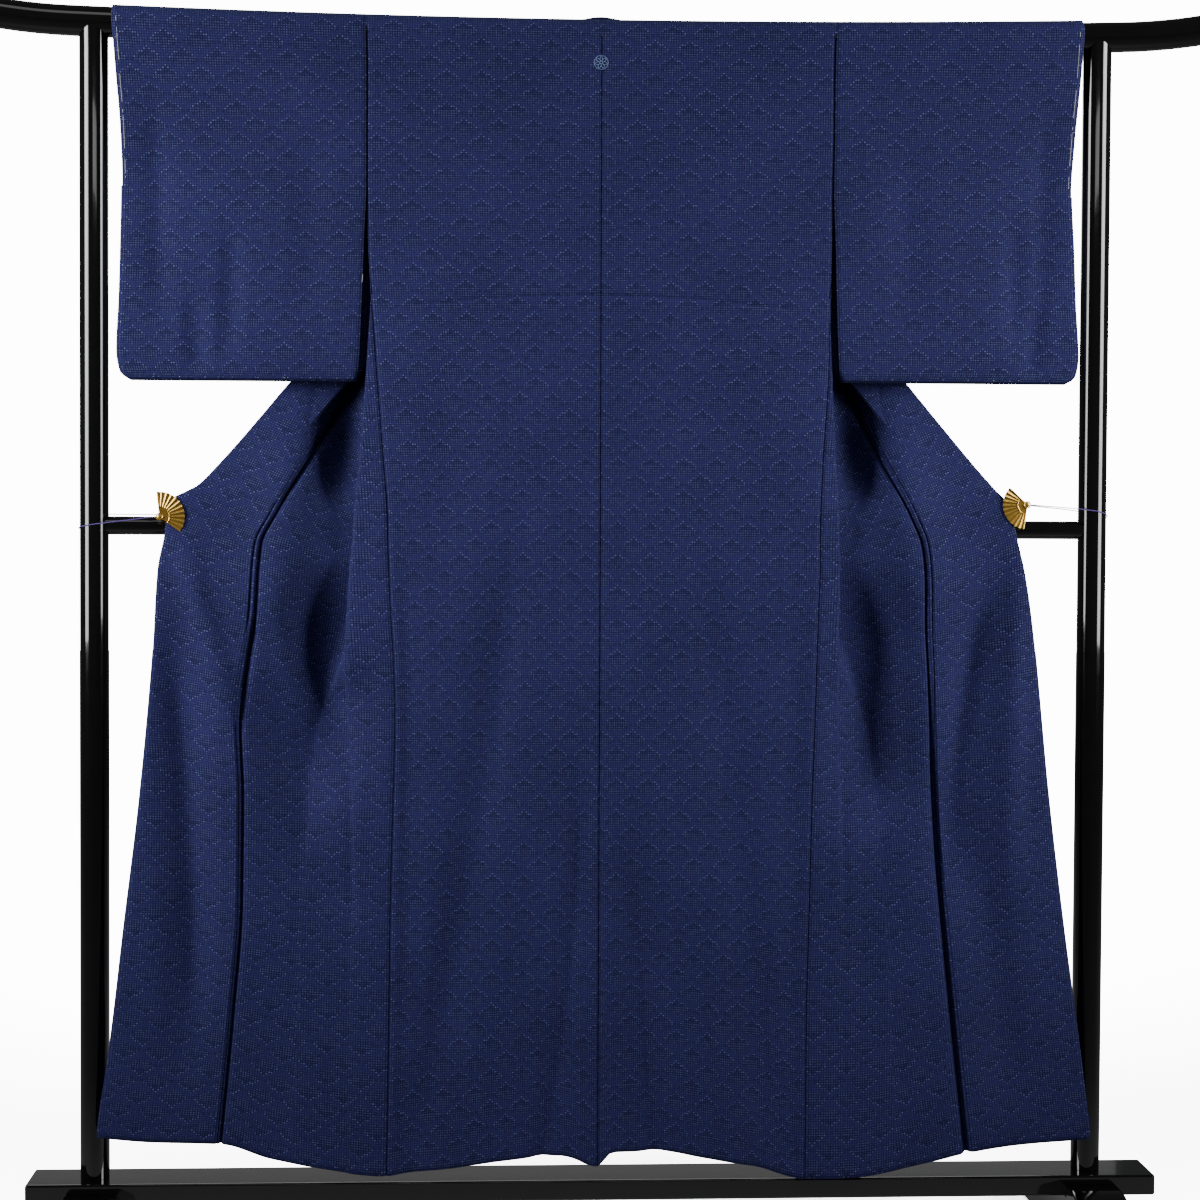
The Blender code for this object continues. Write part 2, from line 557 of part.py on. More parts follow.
def cutter(obj):
    obj.hide_render = True
    obj.display_type = 'WIRE'
    return obj


def cut(obj, tool):
    boolean = obj.modifiers.new(tool.name, 'BOOLEAN')
    boolean.operation = 'DIFFERENCE'
    boolean.object = tool


def bevel(obj, width, segments):
    rounded = obj.modifiers.new("Rounded edges", 'BEVEL')
    rounded.width = width
    rounded.segments = segments
    rounded.limit_method = 'ANGLE'
    rounded.angle_limit = math.radians(40)


def rack(collection, cutters, lacquer):
    """Top bar, two posts, mid bar, bottom rail and two feet."""
    stops = (0.0, 0.2, 0.4, 0.58, 0.70, 0.76, 0.81, 0.85, BAR_HALF)
    xs = [-x for x in reversed(stops[1:])] + list(stops)
    tube("top_bar", [(x, 0, bar_axis(x)) for x in xs], BAR_RADIUS, 6, collection, lacquer)
    rail_top = RAIL_BOTTOM + RAIL_SIZE[2]
    foot_y = FOOT_LENGTH / 2
    for side, word in ((LEFT, "left"), (RIGHT, "right")):
        x = side * POST_X
        slope = 2 * BAR_SAG * x
        bottom, top = rail_top + CLEAR, bar_axis(x)
        post = cylinder("post_" + word, POST_RADIUS, top - bottom, (x, 0, (top + bottom) / 2),
                        (0, 0, 1), collection, lacquer)
        saddle = cutter(cylinder("saddle_" + word, BAR_RADIUS + CLEAR, 0.08, (x, 0, top),
                                 (1, 0, slope), cutters))
        socket = cutter(cylinder("socket_" + word, MID_BAR_RADIUS + CLEAR, 0.030,
                                 (x - side * (POST_RADIUS - SOCKET_DEPTH + 0.015), 0, MID_BAR_Z),
                                 (1, 0, 0), cutters))
        cut(post, saddle)
        cut(post, socket)
        foot(word, x, foot_y, collection, cutters, lacquer)
    reach = POST_X - POST_RADIUS + SOCKET_DEPTH - CLEAR
    cylinder("mid_bar", MID_BAR_RADIUS, 2 * reach, (0, 0, MID_BAR_Z), (1, 0, 0), collection,
             lacquer, sides=24)
    rail = box("bottom_rail", RAIL_SIZE, (0, 0, RAIL_BOTTOM + RAIL_SIZE[2] / 2), collection, lacquer)
    bevel(rail, 0.003, 2)


def foot(word, x, foot_y, collection, cutters, lacquer):
    """A block along Y with low rounded toes, notched for the bottom rail."""
    slope = ((1.0, 0.0), (1.0, 0.30), (0.985, 0.42), (0.93, 0.52), (0.80, 0.64), (0.62, 0.80),
             (0.48, 0.92), (0.38, 0.985), (0.30, 1.0))
    outline = [(y * foot_y, z * FOOT_TOP) for y, z in slope]
    outline += [(-y, z) for y, z in reversed(outline)]
    mesh = bpy.data.meshes.new("foot_" + word)
    build = bmesh.new()
    base = build.faces.new([build.verts.new((-1, y, z)) for y, z in outline])
    made = bmesh.ops.extrude_face_region(build, geom=[base])
    for vert in made["geom"]:
        if isinstance(vert, bmesh.types.BMVert):
            vert.co.x = 1
    for vert in build.verts:
        vert.co.x *= FOOT_HALF_WIDTH + FOOT_SPREAD * (1 - vert.co.z / FOOT_TOP)
    bmesh.ops.recalc_face_normals(build, faces=build.faces)
    build.to_mesh(mesh)
    build.free()
    block = place(bpy.data.objects.new("foot_" + word, mesh), collection, lacquer)
    block.location = (x, 0, 0)
    bevel(block, 0.004, 2)
    notch = cutter(box("notch_" + word, (0.12, RAIL_SIZE[1] + 2 * CLEAR, 0.05),
                       (x, 0, RAIL_BOTTOM - CLEAR + 0.025), cutters))
    cut(block, notch)


def sector(name, centre, y, radii, degrees, steps, ripple, wall, collection, finish):
    """A flat or pleated fan plate in the XZ plane."""
    points = {}
    for i in range(steps + 1):
        angle = math.radians(mix(degrees[0], degrees[1], i / steps))
        for j, radius in enumerate(radii):
            lift = ripple * (1 if i % 2 else -1) * (j == len(radii) - 1)
            points[i, j] = (centre[0] + radius * math.cos(angle), y + lift,
                            centre[1] + radius * math.sin(angle))
    obj = cloth(name, points, grid_faces(steps, len(radii) - 1), wall, collection, finish)
    obj.data.shade_flat()
    return obj


def clip(side, collection, cutters, gold):
    """A fan plate in front of the cloth and a jaw behind it, joined by a pin."""
    word = "left" if side == LEFT else "right"
    at = dict(zip(CLIP_COLUMNS, CLIP[side]))
    centre = (side * at["pivot_x"] * CM, at["pivot_z"] * CM)
    degrees = (at["first_degree"], at["last_degree"])
    fan = sector("clip_" + word, centre, FAN_Y, (PLATE_START, FAN_HUB, FAN_RADIUS), degrees,
                 2 * FAN_PLEATS, PLEAT_DEPTH, FAN_WALL, collection, gold)
    jaw = cutter(sector("jaw_" + word, centre, JAW_Y, (PLATE_START, JAW_RADIUS), degrees,
                        12, 0.0, JAW_WALL, cutters, None))
    front_y, rear_y = FAN_Y - PIN_PROUD, JAW_Y + PIN_PROUD
    pin = cutter(cylinder("pin_" + word, PIN_RADIUS, rear_y - front_y,
                          (centre[0], (front_y + rear_y) / 2, centre[1]), (0, 1, 0), cutters,
                          sides=16))
    for piece in (pin, jaw):
        join = fan.modifiers.new(piece.name, 'BOOLEAN')
        join.operation = 'UNION'
        join.object = piece
    return fan


def clip_cord(side, collection, purple):
    """Two strands from the pin, one before and one behind the post."""
    at = dict(zip(CORD_COLUMNS, (value * CM for value in CORD[side])))
    radius = POST_RADIUS + CORD_RADIUS + 2 * CLEAR
    ends = ((at["pin_x"], at["first_y"]), (at["pin_x"], at["last_y"]))
    angles = []
    for (x, y), sign in zip(ends, (1, -1)):
        reach = math.hypot(x - POST_X, y)
        angles.append(math.atan2(y, x - POST_X) % math.tau + sign * math.acos(radius / reach))
    turn = (angles[1] - angles[0]) % math.tau
    flat = [ends[0]]
    for i in range(CORD_TURN_POINTS + 1):
        angle = angles[0] + turn * i / CORD_TURN_POINTS
        flat.append((POST_X + radius * math.cos(angle), radius * math.sin(angle)))
    flat.append(ends[1])
    flat = np.array(flat)
    way = np.concatenate(([0], np.cumsum(np.linalg.norm(np.diff(flat, axis=0), axis=1))))
    knots = (0, way[1], (way[1] + way[-2]) / 2, way[-2], way[-1])
    heights = [at[name] for name in CORD_COLUMNS[3:]]
    stops = np.concatenate((np.linspace(0, way[1], CORD_STRAND_POINTS)[:-1], way[1:-1],
                            np.linspace(way[-2], way[-1], CORD_STRAND_POINTS)[1:]))
    places = [(side * float(np.interp(s, way, flat[:, 0])), float(np.interp(s, way, flat[:, 1])),
               smooth(knots, heights, s)) for s in stops]
    name = "clip_cord_left" if side == LEFT else "clip_cord_right"
    return tube(name, places, CORD_RADIUS, 2, collection, purple)


for thing in list(bpy.data.objects):
    bpy.data.objects.remove(thing, do_unlink=True)

kimono = bpy.data.collections.new("kimono_on_rack")
cutting = bpy.data.collections.new("cutters")
bpy.context.scene.collection.children.link(kimono)
bpy.context.scene.collection.children.link(cutting)

navy = material("navy_silk", (0.018, 0.028, 0.100), 0.65)
black = material("black_lacquer", (0.006, 0.006, 0.007), 0.12)
gilt = material("gilt_metal", (0.58, 0.36, 0.10), 0.30, 1.0)
violet = material("violet_cord", (0.09, 0.05, 0.23), 0.6)

rack(kimono, cutting, black)
for hand in (LEFT, RIGHT):
    body_panel(hand, kimono, navy)
    okumi_panel(hand, kimono, navy)
    sleeve_bag(hand, kimono, navy)
    clip(hand, kimono, cutting, gilt)
    clip_cord(hand, kimono, violet)
collar_band(kimono, navy)
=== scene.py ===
"""A kimono hung open on a lacquered rack and seen from its back.

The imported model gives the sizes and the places. Metres, +Z up, and -Y is the side of the
camera. Tables are in centimetres, with x counted outward from the centre back seam.
"""
import math

import bmesh
import bpy
import numpy as np
from mathutils import Matrix, Vector


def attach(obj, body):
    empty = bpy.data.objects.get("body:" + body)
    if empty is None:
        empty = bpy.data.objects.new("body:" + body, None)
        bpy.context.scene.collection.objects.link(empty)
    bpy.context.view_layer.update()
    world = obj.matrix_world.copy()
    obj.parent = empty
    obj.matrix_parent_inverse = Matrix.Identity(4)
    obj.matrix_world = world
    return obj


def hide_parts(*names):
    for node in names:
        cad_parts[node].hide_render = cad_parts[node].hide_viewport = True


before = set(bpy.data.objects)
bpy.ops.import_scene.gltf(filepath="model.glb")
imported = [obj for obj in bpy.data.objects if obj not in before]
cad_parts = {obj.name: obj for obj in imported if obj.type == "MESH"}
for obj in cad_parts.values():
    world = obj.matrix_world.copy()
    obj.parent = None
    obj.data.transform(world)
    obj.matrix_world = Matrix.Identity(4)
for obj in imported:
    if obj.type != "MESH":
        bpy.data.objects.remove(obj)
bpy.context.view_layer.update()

# Studio: a pale floor in a white surround. A soft panel on each side draws the thin lines
# down the posts, two fainter ones hang before and above the cloth, and two stand behind it.
# The camera is a little left of the middle, at waist height, and looks at the back.
CAMERA_PLACE = Vector((-0.175, -3.2625, 0.9633))
CAMERA_YAW = math.radians(3.1116)
CAMERA_DOWN = math.radians(1.8046)
CAMERA_ROLL = math.radians(0.2995)
CAMERA_LENS, CAMERA_SENSOR = 73.13, 36.0
FLOOR_SIZE, FLOOR_DROP = 30.0, 0.0005
SEEN_STRENGTH, FELT_STRENGTH = 14.0, 0.05
PANELS = (
    # name, place, aim, width, height, watts, spread in degrees
    ("left_panel", (-1.85, -0.9, 1.5), (-0.55, 0, 1.12), 0.8, 1.6, 10.6, 70),
    ("right_panel", (1.85, -0.9, 1.5), (0.55, 0, 1.12), 0.8, 1.6, 9.2, 70),
    ("front_panel", (0.3, -3.6, 2), (0, 0, 1), 2, 0.25, 1.7, 120),
    ("top_panel", (0, -1.8, 3.9), (0, 0, 1.1), 2.4, 1, 5.4, 140),
    ("rear_panel", (0, 4.4, 2.7), (0, 0, 0.9), 3.6, 2, 28, 140),
    ("low_panel", (0, 4.4, 0.8), (0, 0, 0.5), 3.8, 1, 1.3, 140),
)


def linked(name, data):
    """A new object of the scene."""
    made = bpy.data.objects.new(name, data)
    bpy.context.scene.collection.objects.link(made)
    return made


optics = bpy.data.cameras.new("camera")
optics.lens, optics.sensor_width = CAMERA_LENS, CAMERA_SENSOR
camera = linked("camera", optics)
camera.matrix_world = (
    Matrix.Translation(CAMERA_PLACE) @ Matrix.Rotation(-CAMERA_YAW, 4, 'Z')
    @ Matrix.Rotation(math.pi / 2 - CAMERA_DOWN, 4, 'X') @ Matrix.Rotation(CAMERA_ROLL, 4, 'Z'))
bpy.context.scene.camera = camera

for name, place, aim, width, height, watts, spread in PANELS:
    light = bpy.data.lights.new(name, 'AREA')
    light.shape, light.size, light.size_y = 'RECTANGLE', width, height
    light.energy, light.spread = watts, math.radians(spread)
    panel = linked(name, light)
    panel.location = place
    panel.rotation_euler = (Vector(aim) - Vector(place)).to_track_quat('-Z', 'Y').to_euler()


class Graph:
    """The nodes of a material, the surround or a geometry tree, added one by one."""

    def __init__(self, tree):
        self.tree = tree
        tree.nodes.clear()

    def node(self, kind, settings=None, sockets=None, output=0):
        """Add a node: its settings first, then the values or links of its sockets."""
        made = self.tree.nodes.new(kind)
        for key, value in (settings or {}).items():
            setattr(made, key, value)
        for key, value in (sockets or {}).items():
            if isinstance(value, Term):
                self.tree.links.new(value.socket, made.inputs[key])
            else:
                made.inputs[key].default_value = value
        return Term(self, made.outputs[output]) if made.outputs else made

    def place(self):
        return self.node("ShaderNodeTexCoord", output=3)

    def noise(self, at, scale, detail=2.0, roughness=0.5):
        return self.node("ShaderNodeTexNoise", sockets={
            "Vector": at, "Scale": scale, "Detail": detail, "Roughness": roughness})

    def mix(self, share, first, second):
        return self.node("ShaderNodeMix", {"data_type": 'RGBA'}, {0: share, 6: first, 7: second}, 2)

    def bump(self, height, strength, distance):
        return self.node("ShaderNodeBump", sockets={
            "Strength": strength, "Distance": distance, "Height": height})

    def surface(self, sockets):
        shader = self.node("ShaderNodeBsdfPrincipled", sockets=sockets)
        self.node("ShaderNodeOutputMaterial", sockets={"Surface": shader})


class Term:
    """A socket that can stand in a sum: each operator adds a Math node."""

    def __init__(self, graph, socket):
        self.graph, self.socket = graph, socket

    def pin(self, output):
        return Term(self.graph, self.socket.node.outputs[output])

    def math(self, operation, *others):
        return self.graph.node("ShaderNodeMath", {"operation": operation}, dict(enumerate((self, *others))))

    def __add__(self, other):
        return self.math('ADD', other)

    def __sub__(self, other):
        return self.math('SUBTRACT', other)

    def __rsub__(self, other):
        return self.graph.node("ShaderNodeMath", {"operation": 'SUBTRACT'}, {0: other, 1: self})

    def __mul__(self, other):
        return self.math('MULTIPLY', other)

    def __truediv__(self, other):
        return self.math('DIVIDE', other)

    def __lt__(self, other):
        return self.math('LESS_THAN', other)

    def __gt__(self, other):
        return self.math('GREATER_THAN', other)

    def __abs__(self):
        return self.math('ABSOLUTE')

    __radd__, __rmul__ = __add__, __mul__


surround = bpy.data.worlds.new("surround")
surround.use_nodes = True
sky = Graph(surround.node_tree)
seen = sky.node("ShaderNodeBackground", sockets={"Color": (1, 1, 1, 1), "Strength": SEEN_STRENGTH})
felt = sky.node("ShaderNodeBackground", sockets={"Color": (0.95, 0.97, 1, 1), "Strength": FELT_STRENGTH})
straight = sky.node("ShaderNodeLightPath")
sky.node("ShaderNodeOutputWorld", sockets={
    "Surface": sky.node("ShaderNodeMixShader", sockets={0: straight, 1: felt, 2: seen})})
bpy.context.scene.world = surround


def new_finish(name):
    made = bpy.data.materials.new(name)
    made.use_nodes = True
    return made, Graph(made.node_tree)


floor_finish, nodes = new_finish("pale_floor")
nodes.surface({"Base Color": (0.60, 0.60, 0.61, 1), "Roughness": 0.7})
bpy.ops.mesh.primitive_plane_add(size=FLOOR_SIZE, location=(0, 0, -FLOOR_DROP))
floor = bpy.context.object
floor.name = "floor"
floor.data.materials.append(floor_finish)
floor.is_shadow_catcher = True

# Clip cords: a thin violet cord from each clip goes round its post and back to the clip.
# A row gives the x of its ends, their two depths, and its height at the pin, where it
# meets the post, halfway round, where it leaves the post and back at the pin.
LEFT, RIGHT = -1, 1
CM = 0.01
POST_X = 0.669
POST_RADIUS = 0.019
CORD_RADIUS = 0.0007
CORD_CLEAR = 0.0006
CORD = {
    LEFT: (58.44, -2.55, -2.05, 96.9, 95.8, 95.3, 97.2, 97.15),
    RIGHT: (57.84, -2.55, -2.05, 99.1, 98.3, 97.5, 98.2, 99),
}
CORD_TURN_POINTS = 40
CORD_STRAND_POINTS = 24
CORD_COLOURS = (0.045, 0.022, 0.16, 1), (0.17, 0.10, 0.42, 1)
WORD = {LEFT: "left", RIGHT: "right"}


def curve_through(knots, values, at):
    """Values at places on a curve through the knots that never overshoots them."""
    knots, values, at = (np.asarray(a, float) for a in (knots, values, at))
    step = np.diff(knots)
    slope = np.diff(values) / step
    tangent = np.concatenate((slope[:1], np.zeros(len(knots) - 2), slope[-1:]))
    steady = slope[:-1] * slope[1:] > 0
    a, b = 2 * step[1:] + step[:-1], step[1:] + 2 * step[:-1]
    before, after = np.where(steady, slope[:-1], 1), np.where(steady, slope[1:], 1)
    tangent[1:-1] = np.where(steady, (a + b) / (a / before + b / after), 0)
    at = np.clip(at, knots[0], knots[-1])
    i = np.clip(np.searchsorted(knots, at, side="right") - 1, 0, len(step) - 1)
    t = (at - knots[i]) / step[i]
    return ((2 * t**3 - 3 * t**2 + 1) * values[i] + (t**3 - 2 * t**2 + t) * step[i] * tangent[i]
            + (3 * t**2 - 2 * t**3) * values[i + 1] + (t**3 - t**2) * step[i] * tangent[i + 1])


def way_along(points):
    """The way walked at each point of a line."""
    return np.concatenate(([0], np.cumsum(np.linalg.norm(np.diff(points, axis=0), axis=1))))


def cord_route(side):
    """From the pin to the post, round it, and back to the pin."""
    pin_x, first_y, last_y, *heights = (value * CM for value in CORD[side])
    radius = POST_RADIUS + CORD_RADIUS + CORD_CLEAR
    angles = []
    for y, sign in ((first_y, 1), (last_y, -1)):
        reach = math.hypot(pin_x - POST_X, y)
        angles.append(math.atan2(y, pin_x - POST_X) % math.tau + sign * math.acos(radius / reach))
    turns = angles[0] + (angles[1] - angles[0]) % math.tau * np.linspace(0, 1, CORD_TURN_POINTS)
    arc = np.stack((POST_X + radius * np.cos(turns), radius * np.sin(turns)), axis=1)
    flat = np.vstack(((pin_x, first_y), arc, (pin_x, last_y)))
    way = way_along(flat)
    stops = np.concatenate((np.linspace(0, way[1], CORD_STRAND_POINTS)[:-1], way[1:-1],
                            np.linspace(way[-2], way[-1], CORD_STRAND_POINTS)[1:]))
    knots = (0, way[1], (way[1] + way[-2]) / 2, way[-2], way[-1])
    return np.stack((side * np.interp(stops, way, flat[:, 0]), np.interp(stops, way, flat[:, 1]),
                     curve_through(knots, heights, stops)), axis=1)


violet, nodes = new_finish("violet_cord")
plies = nodes.noise(nodes.place(), 1600.0)
nodes.surface({"Base Color": nodes.mix(plies, *CORD_COLOURS), "Roughness": 0.55,
               "Normal": nodes.bump(plies, 0.5, 0.0002)})

for hand in (LEFT, RIGHT):
    route = cord_route(hand)
    line = bpy.data.curves.new("cord_" + WORD[hand], 'CURVE')
    line.dimensions, line.bevel_depth, line.bevel_resolution = '3D', CORD_RADIUS, 3
    line.use_fill_caps = True
    spline = line.splines.new('POLY')
    spline.points.add(len(route) - 1)
    for point, place in zip(spline.points, route):
        point.co = (*place, 1)
    line.materials.append(violet)
    cord = linked("cord_" + WORD[hand], line)
    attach(cord, "root")
    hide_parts("clip_cord_" + WORD[hand])

# Rack: turned and planed wood under many coats of black lacquer, rubbed to a mirror. Two
# posts stand in a bottom rail on low feet, a thin mid bar runs between them, and the top
# bar, with its gently raised ends, lies in a saddle on each post.
BAR_RADIUS = 0.020
BAR_HALF = 0.890
BAR_INNER, BAR_RINGS = 0.88, 89
BAR_AXIS = 1.610
BAR_SAG = 0.0222
TIP_RISE = 0.60
TIP_START = 0.70
MID_BAR_Z = 0.957
MID_BAR_RADIUS = 0.0122
MID_BAR_RINGS = 24
POST_PARTS = (0.0, *np.linspace(0.02, 0.98, 24), 1.0)
SOCKET_DEPTH = 0.007
RAIL_SIZE = (1.510, 0.082, 0.0270)
RAIL_BOTTOM = 0.0600
FOOT_HALF_LENGTH = 0.190
FOOT_TOP = 0.074
FOOT_HALF_WIDTH = 0.034
FOOT_SPREAD = 0.008
CLEAR = 0.0003
EDGE_ROUND = 0.0022
EDGE_BEVEL = 0.003
ROUND_STEPS = 4
ROD_SIDES = 72
LACQUER_COLOURS = (0.0022, 0.0022, 0.0025, 1), (0.0045, 0.0044, 0.0046, 1)

lacquer, nodes = new_finish("black_lacquer")
at = nodes.place()
rubbed = nodes.noise(at, 55.0, 4.0)
nodes.surface({
    "Base Color": nodes.mix(rubbed, *LACQUER_COLOURS), "Roughness": rubbed * 0.06 + 0.05,
    "Coat Weight": 0.6, "Coat Roughness": 0.03,
    "Normal": nodes.bump(nodes.noise(at, 22.0, 1.0), 0.08, 0.0006)})


def finished(name, mesh, finish, node):
    """Link a finished mesh that rides with the part in the place of its CAD node."""
    mesh.name = name
    mesh.materials.append(finish)
    piece = linked(name, mesh)
    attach(piece, "root")
    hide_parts(node)
    return piece


def lacquered(part, mesh, node=None):
    """A piece of the rack in the place of the node, which is mostly named like it."""
    return finished("lacquer_" + part, mesh, lacquer, node or part)


def smoothed(build, sharp=None):
    """A smooth mesh of what was built, its faces outward, creased past an angle in degrees."""
    bmesh.ops.recalc_face_normals(build, faces=build.faces)
    mesh = bpy.data.meshes.new("piece")
    build.to_mesh(mesh)
    build.free()
    mesh.shade_smooth()
    if sharp:
        mesh.set_sharp_from_angle(angle=math.radians(sharp))
    return mesh


def bar_axis(x):
    return BAR_AXIS + BAR_SAG * x**2 + TIP_RISE * np.maximum(0.0, np.abs(x) - TIP_START) ** 2


def skin(build, places, loop=True):
    """Faces over rows of places, which may be rings. Gives the rows of their vertices."""
    rows = [[build.verts.new(place) for place in row] for row in places]
    for first, second in zip(rows, rows[1:]):
        for k in range(len(first) if loop else len(first) - 1):
            after = (k + 1) % len(first)
            build.faces.new((first[k], first[after], second[after], second[k]))
    return rows


def rod_mesh(rings):
    """Rings of points joined into a smooth rod that is closed at both ends."""
    build = bmesh.new()
    loops = skin(build, rings)
    for loop in (loops[0], loops[-1]):
        middle = build.verts.new(sum((vert.co for vert in loop), Vector()) / len(loop))
        for k in range(len(loop)):
            build.faces.new((loop[k], loop[(k + 1) % len(loop)], middle))
    return smoothed(build, 50)


def ring(centre, across, upward, radius):
    """Points round a centre."""
    turns = np.linspace(0, math.tau, ROD_SIDES, endpoint=False)
    return [Vector(centre) + Vector(across) * radius * math.cos(t) + Vector(upward) * radius * math.sin(t)
            for t in turns]


turns = [math.pi / 2 * k / ROUND_STEPS for k in range(ROUND_STEPS + 1)]
rim = [(BAR_HALF - EDGE_ROUND * (1 - math.sin(t)), BAR_RADIUS - EDGE_ROUND * (1 - math.cos(t)))
       for t in turns]
stations = [(x, BAR_RADIUS) for x in np.linspace(-BAR_INNER, BAR_INNER, BAR_RINGS)]
bar_rings = []
for x, radius in [(-x, r) for x, r in reversed(rim)] + stations + rim:
    slope = (bar_axis(x + 0.001) - bar_axis(x - 0.001)) / 0.002
    upright = Vector((-slope, 0, 1)).normalized()
    bar_rings.append(ring((x, 0, bar_axis(x)), (0, 1, 0), upright, radius))
lacquered("top_bar", rod_mesh(bar_rings))

for hand in (LEFT, RIGHT):
    foot = (hand * POST_X, 0, RAIL_BOTTOM + RAIL_SIZE[2] + CLEAR)
    foot_ring = ring(foot, (1, 0, 0), (0, 1, 0), POST_RADIUS)
    saddle = [Vector((p.x, p.y, bar_axis(p.x) - math.sqrt((BAR_RADIUS + CLEAR) ** 2 - p.y**2)))
              for p in foot_ring]
    rings = [[low.lerp(high, part) for low, high in zip(foot_ring, saddle)] for part in POST_PARTS]
    lacquered("post_" + WORD[hand], rod_mesh(rings))

mid_half = POST_X - POST_RADIUS + SOCKET_DEPTH - CLEAR
lacquered("mid_bar", rod_mesh([ring((x, 0, MID_BAR_Z), (0, 1, 0), (0, 0, 1), MID_BAR_RADIUS)
                               for x in np.linspace(-mid_half, mid_half, MID_BAR_RINGS)]))


def rounded_edges(piece):
    rounded = piece.modifiers.new("Rounded edges", 'BEVEL')
    rounded.width, rounded.segments = EDGE_BEVEL, ROUND_STEPS
    rounded.limit_method, rounded.angle_limit = 'ANGLE', math.radians(35)
    rounded.harden_normals = True


build = bmesh.new()
bmesh.ops.create_cube(build, size=1, matrix=Matrix.Diagonal((*RAIL_SIZE, 1)))
bmesh.ops.translate(build, verts=build.verts, vec=(0, 0, RAIL_BOTTOM + RAIL_SIZE[2] / 2))
rounded_edges(lacquered("rail", smoothed(build), "bottom_rail"))

# The feet are low blocks with rounded toes, notched so that the rail sits in them
FOOT_PROFILE = ((1, 0), (1, 0.3), (0.985, 0.42), (0.93, 0.52), (0.8, 0.64), (0.62, 0.8),
                (0.48, 0.92), (0.38, 0.985), (0.3, 1))
NOTCH_HALF = RAIL_SIZE[1] / 2 + CLEAR
NOTCH_FLOOR = RAIL_BOTTOM - CLEAR
TOE_POINTS = 28
walk = way_along(FOOT_PROFILE)
stops = np.linspace(walk[1], walk[-1], TOE_POINTS)
toe = [(1.0, 0.0), *zip(*(curve_through(walk, values, stops) for values in zip(*FOOT_PROFILE)))]
half = [(y * FOOT_HALF_LENGTH, z * FOOT_TOP) for y, z in toe]
half += [(NOTCH_HALF, FOOT_TOP), (NOTCH_HALF, NOTCH_FLOOR)]
outline = half + [(-y, z) for y, z in reversed(half)]
for hand in (LEFT, RIGHT):
    build = bmesh.new()
    base = build.faces.new([build.verts.new((-1, y, z)) for y, z in outline])
    for item in bmesh.ops.extrude_face_region(build, geom=[base])["geom"]:
        if isinstance(item, bmesh.types.BMVert):
            item.co.x = 1
    for vert in build.verts:
        wide = FOOT_HALF_WIDTH + FOOT_SPREAD * (1 - vert.co.z / FOOT_TOP)
        vert.co.x = hand * POST_X + vert.co.x * wide
    rounded_edges(lacquered("foot_" + WORD[hand], smoothed(build)))

# Body panels: the kimono is sewn from one narrow bolt of deep navy silk crepe, printed all
# over with a tiny dotted repeat. A body panel is one full width of it, from the back hem
# over the shoulder to the front hem, and the two are sewn together down the centre back.
# Both fronts are drawn out sideways, so each turns back on itself behind the side seam.
CLOTH_THICK = 0.0010
WRAP_RADIUS = 0.0225
SEAM_LAP = 0.01
SEAM_WIDTH, SEAM_DEPTH = 0.24, 0.34
SIDE_TOP = 126.5
TIP_TOP = 141.8
TOP, HEM_LEVEL = 161.0, 12.0
HEM_BLEND = 60.0
SHOULDER_BLEND = 4.5
ROW_STEP = 0.8
WRAP_ROWS = 22
TUCK_LEVEL, TUCK_DROP, TUCK_REACH = 126.4, 0.0024, 27.0
TUCK_WIDTH, TUCK_DEPTH = 0.24, 0.20
NECK_PARTS = (0, 0.008, 0.02, 0.04, 0.07, 0.12, 0.2, 0.3, 0.4, 0.5, 0.6, 0.7, 0.8, 0.9)
FIRST_PARTS, LAST_PARTS = (0, 0.06, 0.15, 0.3, 0.6), (0, 0.2, 0.4, 0.6, 0.75, 0.86, 0.93, 0.97)
FRONT_STEPS = (3, 2, 3, 3, 3, 3, 3, 3, 7, 7, 7, 7)
POCKET_BLEND = 1.6
# Where the print's chart has the side seam of the body and the top of the overlap seam, cm
CHART_SIDE, CHART_SEAM = 31, 9
OVER_BAR = -WRAP_RADIUS * math.pi
